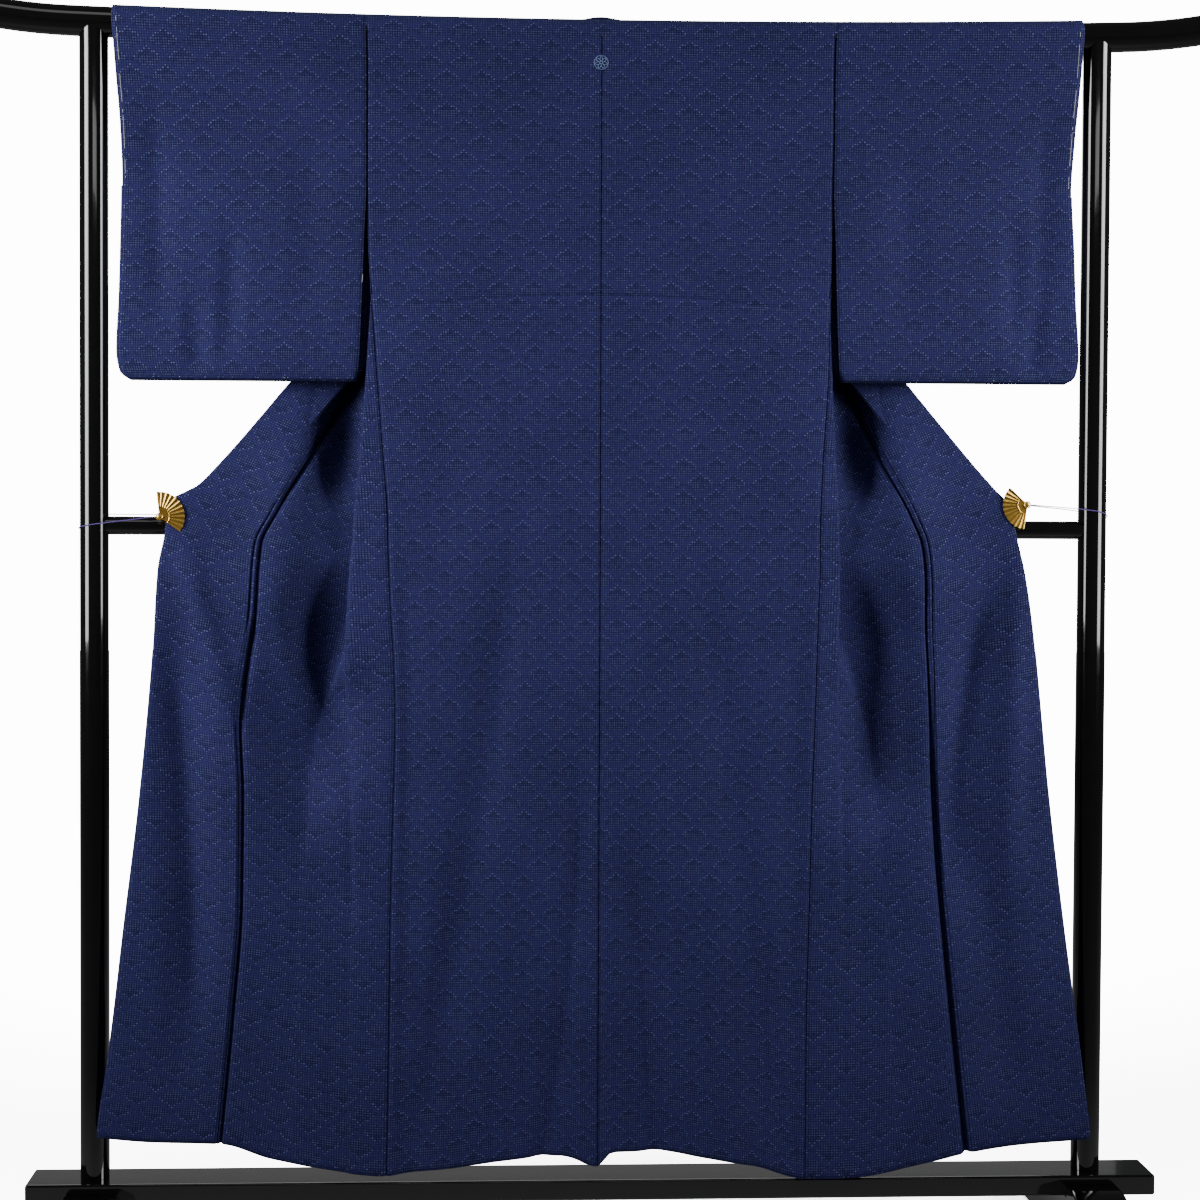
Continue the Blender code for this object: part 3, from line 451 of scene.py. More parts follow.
# The fronts: what is the same on both sides, then the columns of the left side and of the
# right. The strip beside the side seam turns back into a pocket that ends in a narrow fold
FRONT_COLUMNS = ("z", "side_y", "pocket_gap", "seam_y")
FRONT_SIDE_COLUMNS = ("side_x", "strip_x", "strip_y", "pocket_x", "pocket_y", "seam_x")
FRONT = (
    (161, 2.25, 0, 2.25, 31.1, 28.6, 2.25, 13.9, 2.25, 9, 31.2, 28.6, 2.25, 13.9, 2.25, 9),
    (156.5, 2.05, 0.05, 2.15, 31, 28.5, 2.1, 12.7, 2.1, 11.3, 31.1, 28.5, 2.1, 12.9, 2.1, 11.5),
    (152, 1.75, 0.32, 1.95, 31, 28.4, 1.8, 11.7, 1.6, 13.6, 31.1, 28.4, 1.8, 12.2, 1.6, 14.1),
    (147, 1.3, 0.4, 1.75, 31, 28.4, 1.4, 12, 1.25, 16.1, 31.1, 28.4, 1.4, 12.6, 1.25, 16.9),
    (141.8, 0.85, 0.4, 1.5, 31, 28.6, 0.9, 13, 1, 18.5, 31, 28.6, 0.9, 13.6, 1, 19.8),
    (134, -0.5, 0.4, 1.2, 30.8, 29.5, -0.2, 15.2, 0.5, 22.8, 30.9, 29.5, -0.2, 15.8, 0.5, 24.2),
    (126.5, -1.9, 0.4, 1, 30.4, 30.3, -1.55, 17.3, 0, 26.9, 30.8, 30.5, -1.55, 18, 0, 28.2),
    (115.5, -2.6, 0.4, 0.4, 29.5, 31, -2.25, 21, -0.9, 32.8, 30.4, 31, -2.25, 21.4, -0.9, 33.6),
    (103.5, -3.4, 0.4, -1, 28.5, 31.9, -2.8, 25.4, -1.9, 39.4, 29.6, 31.5, -2.8, 24.6, -1.9, 38.8),
    (97.2, -3.9, 0.4, -2, 28.1, 32.5, -3.15, 27.9, -2.6, 42.8, 29.4, 31.9, -3.15, 26.6, -2.6, 41.7),
    (93.6, -4.05, 0.42, -2.35, 28, 32.7, -3.25, 29, -2.62, 44.6, 29.3, 32, -3.25, 27.3, -2.62, 43.1),
    (91, -4.2, 0.45, -2.7, 27.9, 33, -3.35, 29.9, -2.6, 44.9, 29.3, 32.1, -3.35, 27.9, -2.6, 43.4),
    (84.7, -4.4, 0.4, -3.2, 27.6, 33.4, -3.55, 31.6, -2.3, 45.3, 29.1, 32, -3.55, 29.2, -2.3, 43.7),
    (78, -4.5, 0.3, -3.6, 27.2, 33.6, -3.7, 33.9, -2.1, 46.4, 28.9, 32, -3.7, 32.4, -2.1, 44.1),
    (70, -4.6, 0.15, -4, 27, 33, -3.9, 36.8, -2.3, 47.4, 28.7, 32, -3.9, 35.6, -2.3, 44.5),
    (60, -4.7, 0.06, -4.4, 27.2, 32.4, -4.2, 38.2, -3, 47, 28.4, 32.2, -4.2, 37.2, -3.1, 45),
    (46, -4.8, 0.03, -4.7, 27.5, 32.2, -4.45, 39, -3.9, 47.1, 28.1, 32.4, -4.45, 38.2, -4, 46),
    (30, -5, 0.02, -5.1, 27.7, 32.4, -4.8, 39.6, -4.6, 48.2, 27.8, 32.6, -4.8, 39.2, -4.7, 47.6),
    (12, -5.2, 0.02, -5.3, 28, 32.8, -5.5, 40.4, -5, 49.8, 27.8, 32.8, -5.45, 40, -5.05, 49.6),
)
BACK_COLUMNS = ("z", "side_y", "middle_y")
BACK = (
    (161, -2.25, -2.25), (150, -2.25, -2.6), (141.8, -2.2, -2.9),
    (134, -2.1, -3.05), (126.5, -1.9, -3.25), (115.5, -2.6, -3.7),
    (101, -3.6, -4.2), (85, -4.4, -4.75), (60, -4.7, -5.2),
    (30, -5, -5.5), (12, -5.2, -5.7),
)
EDGE_COLUMNS = ("z", "edge_x", "edge_y")
EDGE = {
    LEFT: (
        (141.8, 19, 1.5), (134, 25.1, 1.3), (126.5, 31.4, 1.15), (115.5, 40.7, 0.6),
        (103.5, 50.8, -1), (101, 53.2, -1.85), (98.8, 57, -2.45), (95.2, 57.3, -2.45),
        (90, 58.3, -2.5), (79, 59, -2.7), (60, 60.6, -3.3), (42, 62.6, -4),
        (26, 64.3, -4.6), (14, 65.9, -4.9),
    ),
    RIGHT: (
        (141.8, 20.3, 1.5), (134, 26.2, 1.3), (126.5, 32.3, 1.15), (115.5, 41.4, 0.6),
        (103.5, 51.2, -1), (101, 53.3, -1.85), (98.8, 55.2, -2.45), (95.2, 56, -2.45),
        (90, 57.2, -2.5), (80, 58.6, -2.7), (60, 60.6, -3.3), (42, 62.7, -4),
        (26, 64.8, -4.6), (14, 66.3, -4.9),
    ),
}
HEM_COLUMNS = ("x", "z")
HEM = {
    LEFT: ((0, 10.9), (1.2, 11.2), (3.1, 12.1), (5, 12.5), (12.9, 11.8), (19.6, 10.8),
           (28, 9.8), (35.4, 10.7), (43.3, 12.3), (49.6, 14.3), (59.1, 14.6), (66.1, 15.2)),
    RIGHT: ((0, 10.9), (0.6, 11.6), (2, 12.9), (8.4, 13), (13.7, 12.1), (20.5, 10.7),
            (27.7, 8.9), (33.9, 9), (44.1, 10.9), (49.3, 12.2), (56.9, 13.3), (66.3, 13.9)),
}
# The way the cloth runs on the drawn-out fronts, in degrees from upright
GRAIN_COLUMNS = ("z", "lean")
GRAIN = ((161, 27), (141, 27), (120, 26), (100, 20), (85, 12), (70, 6), (50, 3.5), (12, 2))

# Soft folds: the heights of the two ends, x of the upper end, the middle and the lower end
# (right of the centre seam), the half width, and how far the cloth sinks in (or, where
# negative, stands out), all in cm
BACK_FOLDS = (
    (108, 12, -10.2, -15.5, -24.5, 2.7, 1.49), (104, 12, -26.4, -25.4, -26.4, 1.7, 1.25),
    (72, 12, -2.6, -3.6, -7.6, 1.3, 0.98), (70, 48, -2.2, -3.4, -3, 0.35, 0.16),
    (127, 76, 2.2, 3.8, 5.4, 1.3, 0.59), (84, 48, 6.8, 7.5, 5.8, 0.4, 0.21),
    (62, 12, 4.6, 5.4, 7.6, 1.4, 0.98), (98, 12, 12.6, 18.2, 22.8, 2.6, 1.37),
    (96, 12, 26.6, 25.8, 26.4, 1.6, 1.15), (128, 70, -19, -20.5, -19.5, 3.2, 0.39),
    (120, 64, 18.5, 20, 19, 3.2, 0.39),
)
FRONT_FOLDS = {
    LEFT: (
        (123, 97, -31.8, -33.6, -34.2, 3.6, 3), (102, 90.5, -34.2, -34.4, -34.4, 3.6, 0.7),
        (94.5, 56, -34.6, -36.8, -36.2, 5.2, 1.7), (78, 52, -46.4, -41.2, -36.4, 3, 1.2),
        (60, 42, -41, -36, -30.6, 2.6, 0.7), (91, 64, -43.6, -40.6, -35.6, 2.2, -1.1),
        (97, 66, -56.4, -51.6, -47.6, 1.7, -1.1), (92, 14, -57.4, -54.2, -54, 3.2, 2.6),
        (111, 80, -39, -41.8, -41.8, 4.2, -1.7), (112, 97.3, -33.2, -34, -34.4, 4.2, 1.8),
        (93.5, 56, -34.4, -35.4, -34.4, 7, 1.3),
        (96, 60, -43, -42.6, -41.4, 4.2, -0.4),
    ),
    RIGHT: (
        (123, 97, 31.4, 33.4, 34.8, 3.8, 3), (102, 90.5, 34.4, 34.2, 34, 3.6, 0.7),
        (94.5, 52, 34.6, 36.8, 36.8, 5, 1.8), (111, 80, 39.2, 41.6, 41.8, 4, -1.7),
        (58, 30, 38, 36, 35, 2.4, 0.6), (96, 40, 54.8, 48.9, 47.6, 3.2, 2.6),
        (97, 40, 56.6, 55.6, 55, 1.9, -1), (60, 14, 50, 53, 56, 3, 1.2),
        (112, 97.3, 33.2, 34.2, 34.8, 4.2, 1.8), (93.5, 52, 33.6, 35.4, 34.4, 7, 1.3),
        (96, 58, 42.6, 42.4, 41.6, 4, -0.4),
    ),
}
# The seam of front and overlap panel lies in a narrow hollow. For part of the way a second
# line runs beside it on the overlap panel, where the seam allowance shows through
HOLLOW_COLUMNS = ("z", "width", "depth", "second_at", "second_depth")
HOLLOW = {
    LEFT: (
        (142, 0.42, 0.9, 0.9, 0), (114, 0.58, 2.2, 0.9, 0), (101, 0.46, 1.6, 0.8, 0.1),
        (97, 0.26, 0.8, 0.85, 0.45), (84, 0.26, 0.8, 0.9, 0.45), (81, 0.5, 1.4, 0.9, 0.05),
        (72, 0.5, 1.4, 0.8, 0.05), (68, 0.32, 1, 0.6, 0.4), (12, 0.3, 1, 0.55, 0.4),
    ),
    RIGHT: (
        (142, 0.42, 0.9, 0.9, 0), (114, 0.58, 2.2, 0.9, 0.1), (109, 0.42, 1.5, 0.75, 0.35),
        (97, 0.26, 0.8, 0.85, 0.4), (78, 0.26, 0.8, 0.75, 0.4), (70, 0.36, 1, 0.6, 0.25),
        (62, 0.5, 1.4, 0.6, 0.05), (12, 0.5, 1.5, 0.6, 0),
    ),
}
SECOND_WIDTH = 0.12


def read(columns, rows):
    """A function that gives a table's named column at values of its first column."""
    rows = np.array(sorted(rows), float)
    return lambda name, at: curve_through(rows[:, 0], rows[:, columns.index(name)], at)


def blend(a, b, t):
    return a + (b - a) * t


def ease(t):
    t = np.clip(t, 0, 1)
    return t * t * (3 - 2 * t)


def per_side(columns, tables):
    return {side: read(columns, rows) for side, rows in tables.items()}


others = ("",) * len(FRONT_SIDE_COLUMNS)
front = {LEFT: read(FRONT_COLUMNS + FRONT_SIDE_COLUMNS + others, FRONT),
         RIGHT: read(FRONT_COLUMNS + others + FRONT_SIDE_COLUMNS, FRONT)}
edge, hem, hollow = per_side(EDGE_COLUMNS, EDGE), per_side(HEM_COLUMNS, HEM), per_side(HOLLOW_COLUMNS, HOLLOW)
back = read(BACK_COLUMNS, BACK)
grain = read(GRAIN_COLUMNS, GRAIN)


def cloth_height(side, x, level):
    """Height of a row of cloth: the lowest rows follow the hem, the highest the bar."""
    share = np.maximum(0, 1 - (level - HEM_LEVEL) / HEM_BLEND) ** 2
    rise = (bar_axis(x * CM) / CM - TOP) * np.clip(1 - (TOP - level) / SHOULDER_BLEND, 0, 1)
    return level + (hem[side]("z", x) - HEM_LEVEL) * share + rise


def sink(folds, x, z):
    """How far soft folds sink the cloth in at x right of the centre seam, cm."""
    total = 0 * x
    for z_top, z_foot, x_top, x_mid, x_foot, half_width, depth in folds:
        way = (z_top - z) / (z_top - z_foot)
        t = np.clip(way, 0, 1)
        middle = x_top * (1 - t) * (1 - 2 * t) + 4 * x_mid * t * (1 - t) + x_foot * t * (2 * t - 1)
        strength = ease(way * 3) * (1 if z_foot <= HEM_LEVEL else ease(3 - 3 * way))
        total = total + depth * strength * np.exp(-((x - middle) / half_width) ** 2)
    return total


def front_section(side, level):
    """The front's turning points from the side seam to the overlap seam, cm."""
    side_seam, strip, pocket, seam = (
        np.array([float(front[side](spot + way, level)) for way in ("_x", "_y")])
        for spot in ("side", "strip", "pocket", "seam"))
    gap = float(front[side]("pocket_gap", level))
    fold_in = pocket + (np.clip(0.15 * (strip[0] - pocket[0]), -0.5, 0.5), -gap)
    fold_out = pocket + (np.clip(0.15 * (seam[0] - pocket[0]), -0.5, 0.5), gap)
    turn_x = strip[0] + np.clip(0.12 * (pocket[0] - strip[0]), -0.4, 0.4)
    turn = np.array((turn_x, blend(strip[1], fold_in[1], 0.5)))
    return np.array([side_seam, blend(side_seam, strip, 0.5), strip, turn,
                     *(blend(turn, fold_in, t) for t in (0.25, 0.5, 0.75)), fold_in, pocket, fold_out,
                     *(blend(fold_out, seam, t) for t in (0.2, 0.4, 0.6, 0.8)), seam])


front_stops = [k + step / steps for k, steps in enumerate(FRONT_STEPS, start=1) for step in range(steps)]
front_stops = np.array([*FIRST_PARTS, *front_stops, *(13 + part for part in LAST_PARTS), 14])
STRIP_STOP, POCKET_STOP = 2, 8


def front_line(side, level):
    """Fine points of the front at one height, and the way along the cloth, cm."""
    points = front_section(side, level)
    way = way_along(points)
    stops = np.interp(front_stops, np.arange(len(points)), way)
    return curve_through(way, points[:, 0], stops), curve_through(way, points[:, 1], stops), stops


def seam_line(distance, width=SEAM_WIDTH, depth=SEAM_DEPTH):
    """How far a seam draws the cloth in at a distance from it, cm."""
    return depth * np.exp(-(distance / width) ** 2)


def joined(*parts):
    """Coordinates, or charts, put together from their single parts."""
    return np.stack(np.broadcast_arrays(*parts), axis=-1)


def seam_length(side):
    """The way down the overlap seam from the shoulder, by height, cm."""
    levels = np.linspace(TOP, HEM_LEVEL, 300)
    way = way_along(joined(levels, front[side]("seam_x", levels)))
    return lambda level: np.interp(-level, -levels, way)


down_seam = {side: seam_length(side) for side in (LEFT, RIGHT)}


def drawn_chart(side, level, reach):
    """Chart in metres of the drawn-out front, by the reach inward from the overlap seam."""
    lean = np.radians(grain("lean", level))
    down = down_seam[side](level) - reach * np.sin(lean)
    return joined(side * (CHART_SEAM + reach * np.cos(lean)) * CM, OVER_BAR - down * CM)


def over_bar(x, z, across):
    """Places and chart of the rows of cloth that lie on the bar, in metres."""
    turns = math.pi * np.arange(1, WRAP_ROWS + 1)[:, None] / WRAP_ROWS
    places = joined(x, -WRAP_RADIUS * np.cos(turns), z + WRAP_RADIUS * np.sin(turns))
    return places, joined(across, -WRAP_RADIUS * turns)


def cloth_build(places, chart, keep=lambda i, j: i >= 0, loop=False):
    """A grid of places in metres, with its cloth chart in metres as UV map."""
    rows, columns = places.shape[:2]
    i, j = np.indices((rows if loop else rows - 1, columns - 1))
    chosen = keep(i, j)
    start, after, j = i[chosen] * columns, (i[chosen] + 1) % rows * columns, j[chosen]
    faces = np.stack((start + j, start + j + 1, after + j + 1, after + j), axis=1)
    used, faces = np.unique(faces, return_inverse=True)
    faces = faces.reshape(-1, 4)
    mesh = bpy.data.meshes.new("cloth")
    mesh.from_pydata(places.reshape(-1, 3)[used].tolist(), [], faces.tolist())
    layer = mesh.uv_layers.new(name="cloth")
    layer.data.foreach_set("uv", chart.reshape(-1, 2)[used][faces.reshape(-1)].ravel())
    build = bmesh.new()
    build.from_mesh(mesh)
    bpy.data.meshes.remove(mesh)
    return build


even_levels = np.linspace(HEM_LEVEL, TOP, round((TOP - HEM_LEVEL) / ROW_STEP) + 1)
cloth_levels = np.union1d(even_levels, np.arange(TUCK_LEVEL - 2.2, TUCK_LEVEL + 0.7, 0.2))


def body_grid(side):
    """Places and chart of a body panel, up the back, over the bar and down the front."""
    top_x, _, _ = front_line(side, TOP)
    neck = len(NECK_PARTS)
    across = np.concatenate((np.array(NECK_PARTS) * top_x[-1], top_x[::-1]))
    part, levels = across / top_x[0], cloth_levels[:, None]
    x = blend(-SEAM_LAP, front[side]("side_x", levels), part)
    z = cloth_height(side, x, levels)
    y = blend(back("middle_y", z), back("side_y", z), part**2)
    y = y + sink(BACK_FOLDS, side * x, z) * (1 - part**8) * ease((TOP - levels) / 3)
    y = y + seam_line(x) + seam_line(x[:, -1:] - x)
    tuck = seam_line(z - TUCK_LEVEL + TUCK_DROP * x**2, TUCK_WIDTH, TUCK_DEPTH)
    y = y + tuck * ease((TUCK_REACH - x) / 3)
    places, chart = joined(side * x, y, z) * CM, joined(side * across, TOP - levels) * CM
    x = places[-1, :, 0]
    wrap_places, wrap_chart = over_bar(x, bar_axis(x), side * across * CM)
    past_pocket = np.clip((front_stops - POCKET_STOP) / POCKET_BLEND, 0, 1)
    front_places, front_chart = [], []
    for level in cloth_levels[-2::-1]:
        x, y, way = front_line(side, level)
        z = cloth_height(side, x, level)
        unfolded = ease((front[side]("pocket_x", level) - front[side]("strip_x", level)) / 3)
        shown = blend(ease(past_pocket), ease(front_stops / STRIP_STOP), unfolded)
        reach = way[-1] - way
        y = y + seam_line(way) * (level <= SIDE_TOP) + sink(FRONT_FOLDS[side], side * x, z) * shown
        y = y + seam_line(reach, hollow[side]("width", level), hollow[side]("depth", level))
        plain = joined(side * (CHART_SIDE - way) * CM, OVER_BAR - (TOP - level) * CM)
        uv = np.where((past_pocket > 0)[:, None], drawn_chart(side, level, reach), plain)
        for rows, row in ((front_places, joined(side * x, y, z) * CM), (front_chart, uv)):
            rows.append(np.vstack((np.repeat(row[-1:], neck, axis=0), row[::-1])))
    neck_row = len(levels) - 1 + WRAP_ROWS // 2
    places = np.concatenate((places, wrap_places, front_places))
    chart = np.concatenate((chart, wrap_chart, front_chart))
    return places, chart, lambda i, j: (j >= neck) | (i < neck_row)


# The print: pin dots on a fine grid, gathered into small lozenges with a bright rounded
# upper edge, in staggered rows over a crepe ground
DOT_ACROSS, DOT_DOWN = 0.00329, 0.00303
REPEAT = 14
DOT_SIZE = 0.29
CREPE = 1 / 0.0017
DYE = (0.0202, 0.0192, 0.1030, 1)
DYE_DEEP = (0.0056, 0.0062, 0.0400, 1)
DOT_COLOUR = (0.160, 0.19, 0.43, 1)

silk, nodes = new_finish("navy_silk")
silk_chart = nodes.node("ShaderNodeUVMap", {"uv_map": "cloth"})
silk_ways = nodes.node("ShaderNodeSeparateXYZ", sockets={0: silk_chart})
across, down = silk_ways / DOT_ACROSS, silk_ways.pin(1) / DOT_DOWN
column, line = across.math('FLOOR'), down.math('FLOOR')
off_across, off_down = across - column - 0.5, down - line - 0.5
off_dot = (off_across * off_across + off_down * off_down).math('SQRT')
dot = ((DOT_SIZE - off_dot) * 9.0 + 0.5).math('MAXIMUM', 0.0).math('MINIMUM', 1.0)


def lozenges(shift):
    """Dots and ground of one set of lozenges, by column and line of the dot grid."""
    beside = abs((column + shift).math('FLOORED_MODULO', REPEAT) - REPEAT / 2)
    row = (line + shift).math('FLOORED_MODULO', REPEAT) - 2
    rim = (abs(beside - row * 1.3) < 0.7) * (row > -0.5) * (row < 4.5)
    filled = beside < (row * 1.3 - 0.8).math('MINIMUM', (8.2 - row) * 1.6 + 0.3)
    ground = beside < (row * 1.3 + 0.5).math('MINIMUM', (8.5 - row) * 1.9)
    return (rim * 0.45).math('MAXIMUM', filled * ((row > 3.5) * 0.16 + 0.03)), ground


dots_a, ground_a = lozenges(0)
dots_b, ground_b = lozenges(REPEAT // 2)
cell = nodes.node("ShaderNodeCombineXYZ", sockets={0: column, 1: line})
uneven = nodes.node("ShaderNodeTexWhiteNoise", {"noise_dimensions": '2D'}, {"Vector": cell})
printed = dot * (dots_a.math('MAXIMUM', dots_b) + 0.13) * (uneven * 0.9 + 0.50)
crepe = nodes.noise(silk_chart, CREPE, roughness=0.6)
clouding = nodes.noise(silk_chart, 7.0)
depth_of_dye = (crepe - 0.5) * 3.0 + (clouding - 0.5) * 0.8 + 0.30 + ground_a.math('MAXIMUM', ground_b) * 0.42
nodes.surface({
    "Base Color": nodes.mix(printed, nodes.mix(depth_of_dye, DYE, DYE_DEEP), DOT_COLOUR),
    "Roughness": crepe * 0.2 + 0.7, "Specular IOR Level": 0.12,
    "Sheen Weight": 0.04, "Sheen Roughness": 0.5, "Sheen Tint": (0.45, 0.55, 1.0, 1),
    "Normal": nodes.bump(crepe, 0.5, 0.0003)})


def silk_piece(node, build, thickness=CLOTH_THICK):
    """Sewn silk in the place of a CAD node, a thin wall on both sides of what was built."""
    piece = finished("silk_" + node, smoothed(build), silk, node)
    wall = piece.modifiers.new("Cloth", 'SOLIDIFY')
    wall.thickness, wall.offset = thickness, 0.0
    return piece


for hand in (LEFT, RIGHT):
    panel = silk_piece("body_" + WORD[hand], cloth_build(*body_grid(hand)))

# Overlap panels: a half width of the same silk is sewn to the inner edge of each front,
# from a point below the neck to the hem. Its own front edge is turned in and hemmed.
OKUMI_NEAR = (0, 0.08, 0.16, 0.26, 0.36, 0.46, 0.54, 0.62, 0.70, 0.78, 0.86, 0.94, 1.04, 1.2, 1.45)
OKUMI_FAR = 22


def okumi_grid(side):
    levels = cloth_levels[cloth_levels <= TIP_TOP][::-1, None]
    seam_x, seam_y = front[side]("seam_x", levels) - 2 * SEAM_LAP, front[side]("seam_y", levels)
    width = edge[side]("edge_x", levels) - seam_x
    near = np.array(OKUMI_NEAR)[None, :] * np.minimum(1, width / 3)
    far = blend(near[:, -1:], width, np.linspace(0, 1, OKUMI_FAR + 1)[None, 1:])
    reach = np.hstack((near, far))
    x = seam_x + reach
    y = blend(seam_y, edge[side]("edge_y", levels), reach / width)
    z = cloth_height(side, x, levels)
    y = y + sink(FRONT_FOLDS[side], side * x, z) + seam_line(
        reach, hollow[side]("width", levels), hollow[side]("depth", levels))
    y = y + seam_line(reach - hollow[side]("second_at", levels), SECOND_WIDTH,
                      hollow[side]("second_depth", levels))
    places = joined(side * x, y, z) * CM
    return places, drawn_chart(side, levels, -reach)


for hand in (LEFT, RIGHT):
    panel = silk_piece("okumi_" + WORD[hand], cloth_build(*okumi_grid(hand)))

# Sleeves: each is one full width of the silk, folded over at the shoulder and sewn along
# its foot and up the outer edge to the wrist opening. The inner edge is joined to the body
# for the upper part only and hangs open below.
SLEEVE_STEPS = 44
SLEEVE_ROWS = 58
CUFF_BOTTOM = 140.5
CHART_SLEEVE = 33
RIDGE = 0.15
ROWS_BUNCHED = 0.35
SLEEVE_COLUMNS = ("z", "inner_x", "outer_x", "inner_back", "inner_front", "outer_middle", "outer_gap")
# The first three columns of the left sleeve, then all of the right one. The rest are alike
SLEEVE = (
    (161, 31.14, 64.3, 161, 31.24, 64.6, -2.25, 2.25, 0, 2.25),
    (155, 31.04, 63.8, 155, 31.14, 64.2, -2.25, 1.96, -0.05, 1.75),
    (148, 31.04, 63.3, 148, 31.14, 63.7, -2.23, 1.38, -0.2, 0.95),
    (140.5, 31.04, 63.1, 140.5, 31.08, 63.4, -2.2, 0.7, -0.4, 0.22),
    (134, 31.3, 63.2, 134, 31.35, 63.7, -2.1, 0.3, -0.6, 0.22),
    (126, 31.6, 63.4, 126, 31.6, 64, -2.05, -0.05, -0.8, 0.24),
    (119, 31.9, 63.7, 119, 31.9, 64.4, -1.85, -0.35, -0.95, 0.26),
    (116, 32.1, 63.2, 116.2, 32.1, 63.9, -1.55, -0.85, -1, 0.22),
    (114.9, 32.2, 61.9, 115.3, 32.2, 62.6, -1.2, -1.2, -1, 0),
)
SLEEVE_FOLDS = {
    LEFT: (
        (156, 118, -59, -58.4, -57.8, 1.6, 0.54), (138, 115, -48.6, -48.8, -49.4, 1.3, 0.63),
        (128, 112, -53.6, -53.4, -53, 1.4, 0.72), (150, 120, -39, -38.4, -38, 2.4, 0.45),
    ),
    RIGHT: (
        (156, 118, 60, 59.4, 59, 1.6, 0.54), (140, 116, 55.6, 55.8, 56.4, 1.3, 0.63),
        (128, 112, 58.6, 58.4, 58, 1.2, 0.72), (150, 118, 40.6, 41, 41.4, 2.4, 0.45),
    ),
}
# Under the arm the front layer of the sleeve reaches in behind the body panel
TUCKED_IN = 1.4
SLEEVE_RISE = 6.0
sleeve_rows = {LEFT: [row[:3] + row[6:] for row in SLEEVE], RIGHT: [row[3:] for row in SLEEVE]}
sleeve = per_side(SLEEVE_COLUMNS, sleeve_rows)
lowest_row = {side: rows[-1][0] for side, rows in sleeve_rows.items()}


def sleeve_layers(side, level, part):
    """Both layers of a sleeve across one row: x, height, depth behind and ahead, cm."""
    at = {name: sleeve[side](name, level) for name in SLEEVE_COLUMNS[1:]}
    x = blend(at["inner_x"], at["outer_x"], part)
    z = level + (bar_axis(x * CM) / CM - TOP) * np.clip(1 - (TOP - level) / SLEEVE_RISE, 0, 1)
    behind = blend(at["inner_back"], at["outer_middle"] - at["outer_gap"], ease(part))
    ahead = blend(at["inner_front"], at["outer_middle"] + at["outer_gap"], ease(part))
    dip = sink(SLEEVE_FOLDS[side], side * x, z)
    dip = dip * ease((TOP - level) / 4) * ease((level - lowest_row[side]) / 3)
    return x, z, behind + dip, ahead + 0.5 * dip


def sleeve_build(side):
    """A sleeve: a flat tube over the bar, closed along its foot and below the wrist."""
    lowest = lowest_row[side]
    spread = np.linspace(0, 1, SLEEVE_ROWS + 1)
    rows = blend(TOP, lowest, spread * (1 + ROWS_BUNCHED - ROWS_BUNCHED * spread))
    rows[np.argmin(abs(rows - CUFF_BOTTOM))] = CUFF_BOTTOM
    part, levels = np.linspace(0, 1, SLEEVE_STEPS + 1), rows[:, None]
    x, z, behind, ahead = sleeve_layers(side, levels, part)
    inward = TUCKED_IN * ease((TIP_TOP - levels) / 7) * ease((levels - lowest) / 4) * (1 - part) ** 5
    back_places, front_places = joined(side * x, behind, z) * CM, joined(side * (x - inward), ahead, z) * CM
    across, down = side * (CHART_SIDE + part * CHART_SLEEVE) * CM, (TOP - levels) * CM
    wrap_places, wrap_chart = over_bar(back_places[0, :, 0], back_places[0, :, 2], across)
    places = np.concatenate((back_places[::-1], wrap_places[:-1], front_places[:-1]))
    chart = np.concatenate((joined(across, down)[::-1], wrap_chart[:-1],
                            joined(across, OVER_BAR - down)[:-1]))
    build = cloth_build(places, chart, loop=True)
    build.verts.ensure_lookup_table()
    layer = build.loops.layers.uv["cloth"]
    columns = SLEEVE_STEPS + 1
    outer = [build.verts[row * columns + SLEEVE_STEPS] for row in range(len(places))]
    pairs = [(outer[0], outer[0], outer[0])]
    for i in range(1, SLEEVE_ROWS + 1):
        if rows[SLEEVE_ROWS - i] <= CUFF_BOTTOM + 0.01:
            middle = (outer[i].co + outer[-i].co) / 2 + Vector((side * RIDGE * CM, 0, 0))
            pairs.append((outer[i], build.verts.new(middle), outer[-i]))
    for first, second in zip(pairs, pairs[1:]):
        for k in range(2):
            corners = dict.fromkeys((first[k], first[k + 1], second[k + 1], second[k]))
            for corner in build.faces.new(tuple(corners)).loops:
                corner[layer].uv = (side * (CHART_SIDE + CHART_SLEEVE) * CM, TOP * CM - corner.vert.co.z)
    return build


for hand in (LEFT, RIGHT):
    bag = silk_piece("sleeve_" + WORD[hand], sleeve_build(hand))

# Collar: one long band of the silk, folded double, sewn round the neck and down the slant
# edges of both overlap panels. Round the neck it has dropped behind the bar, so only its
# peak shows there. Further down it is folded back behind the fronts as far as the clips.
COLLAR_THICK = 0.0016
COLLAR_STEPS = 14
COLLAR_ROW = 0.6
NECK_HALF = 0.090
COLLAR_WIDTH = 5.8
SEWN_BEHIND, HANG_BEHIND, PINCHED_BEHIND = 0.27, 0.55, 0.30
COLLAR_LIFT = 0.0010
NECK_PEAK = 0.004
NECK_PEAK_WIDTH = 0.012
COLLAR_LEVELS = (141.8, 134, 126.5, 121, 115.5, 109.5, 103.5, 101, 98.8)
CHART_ASIDE = 2.0
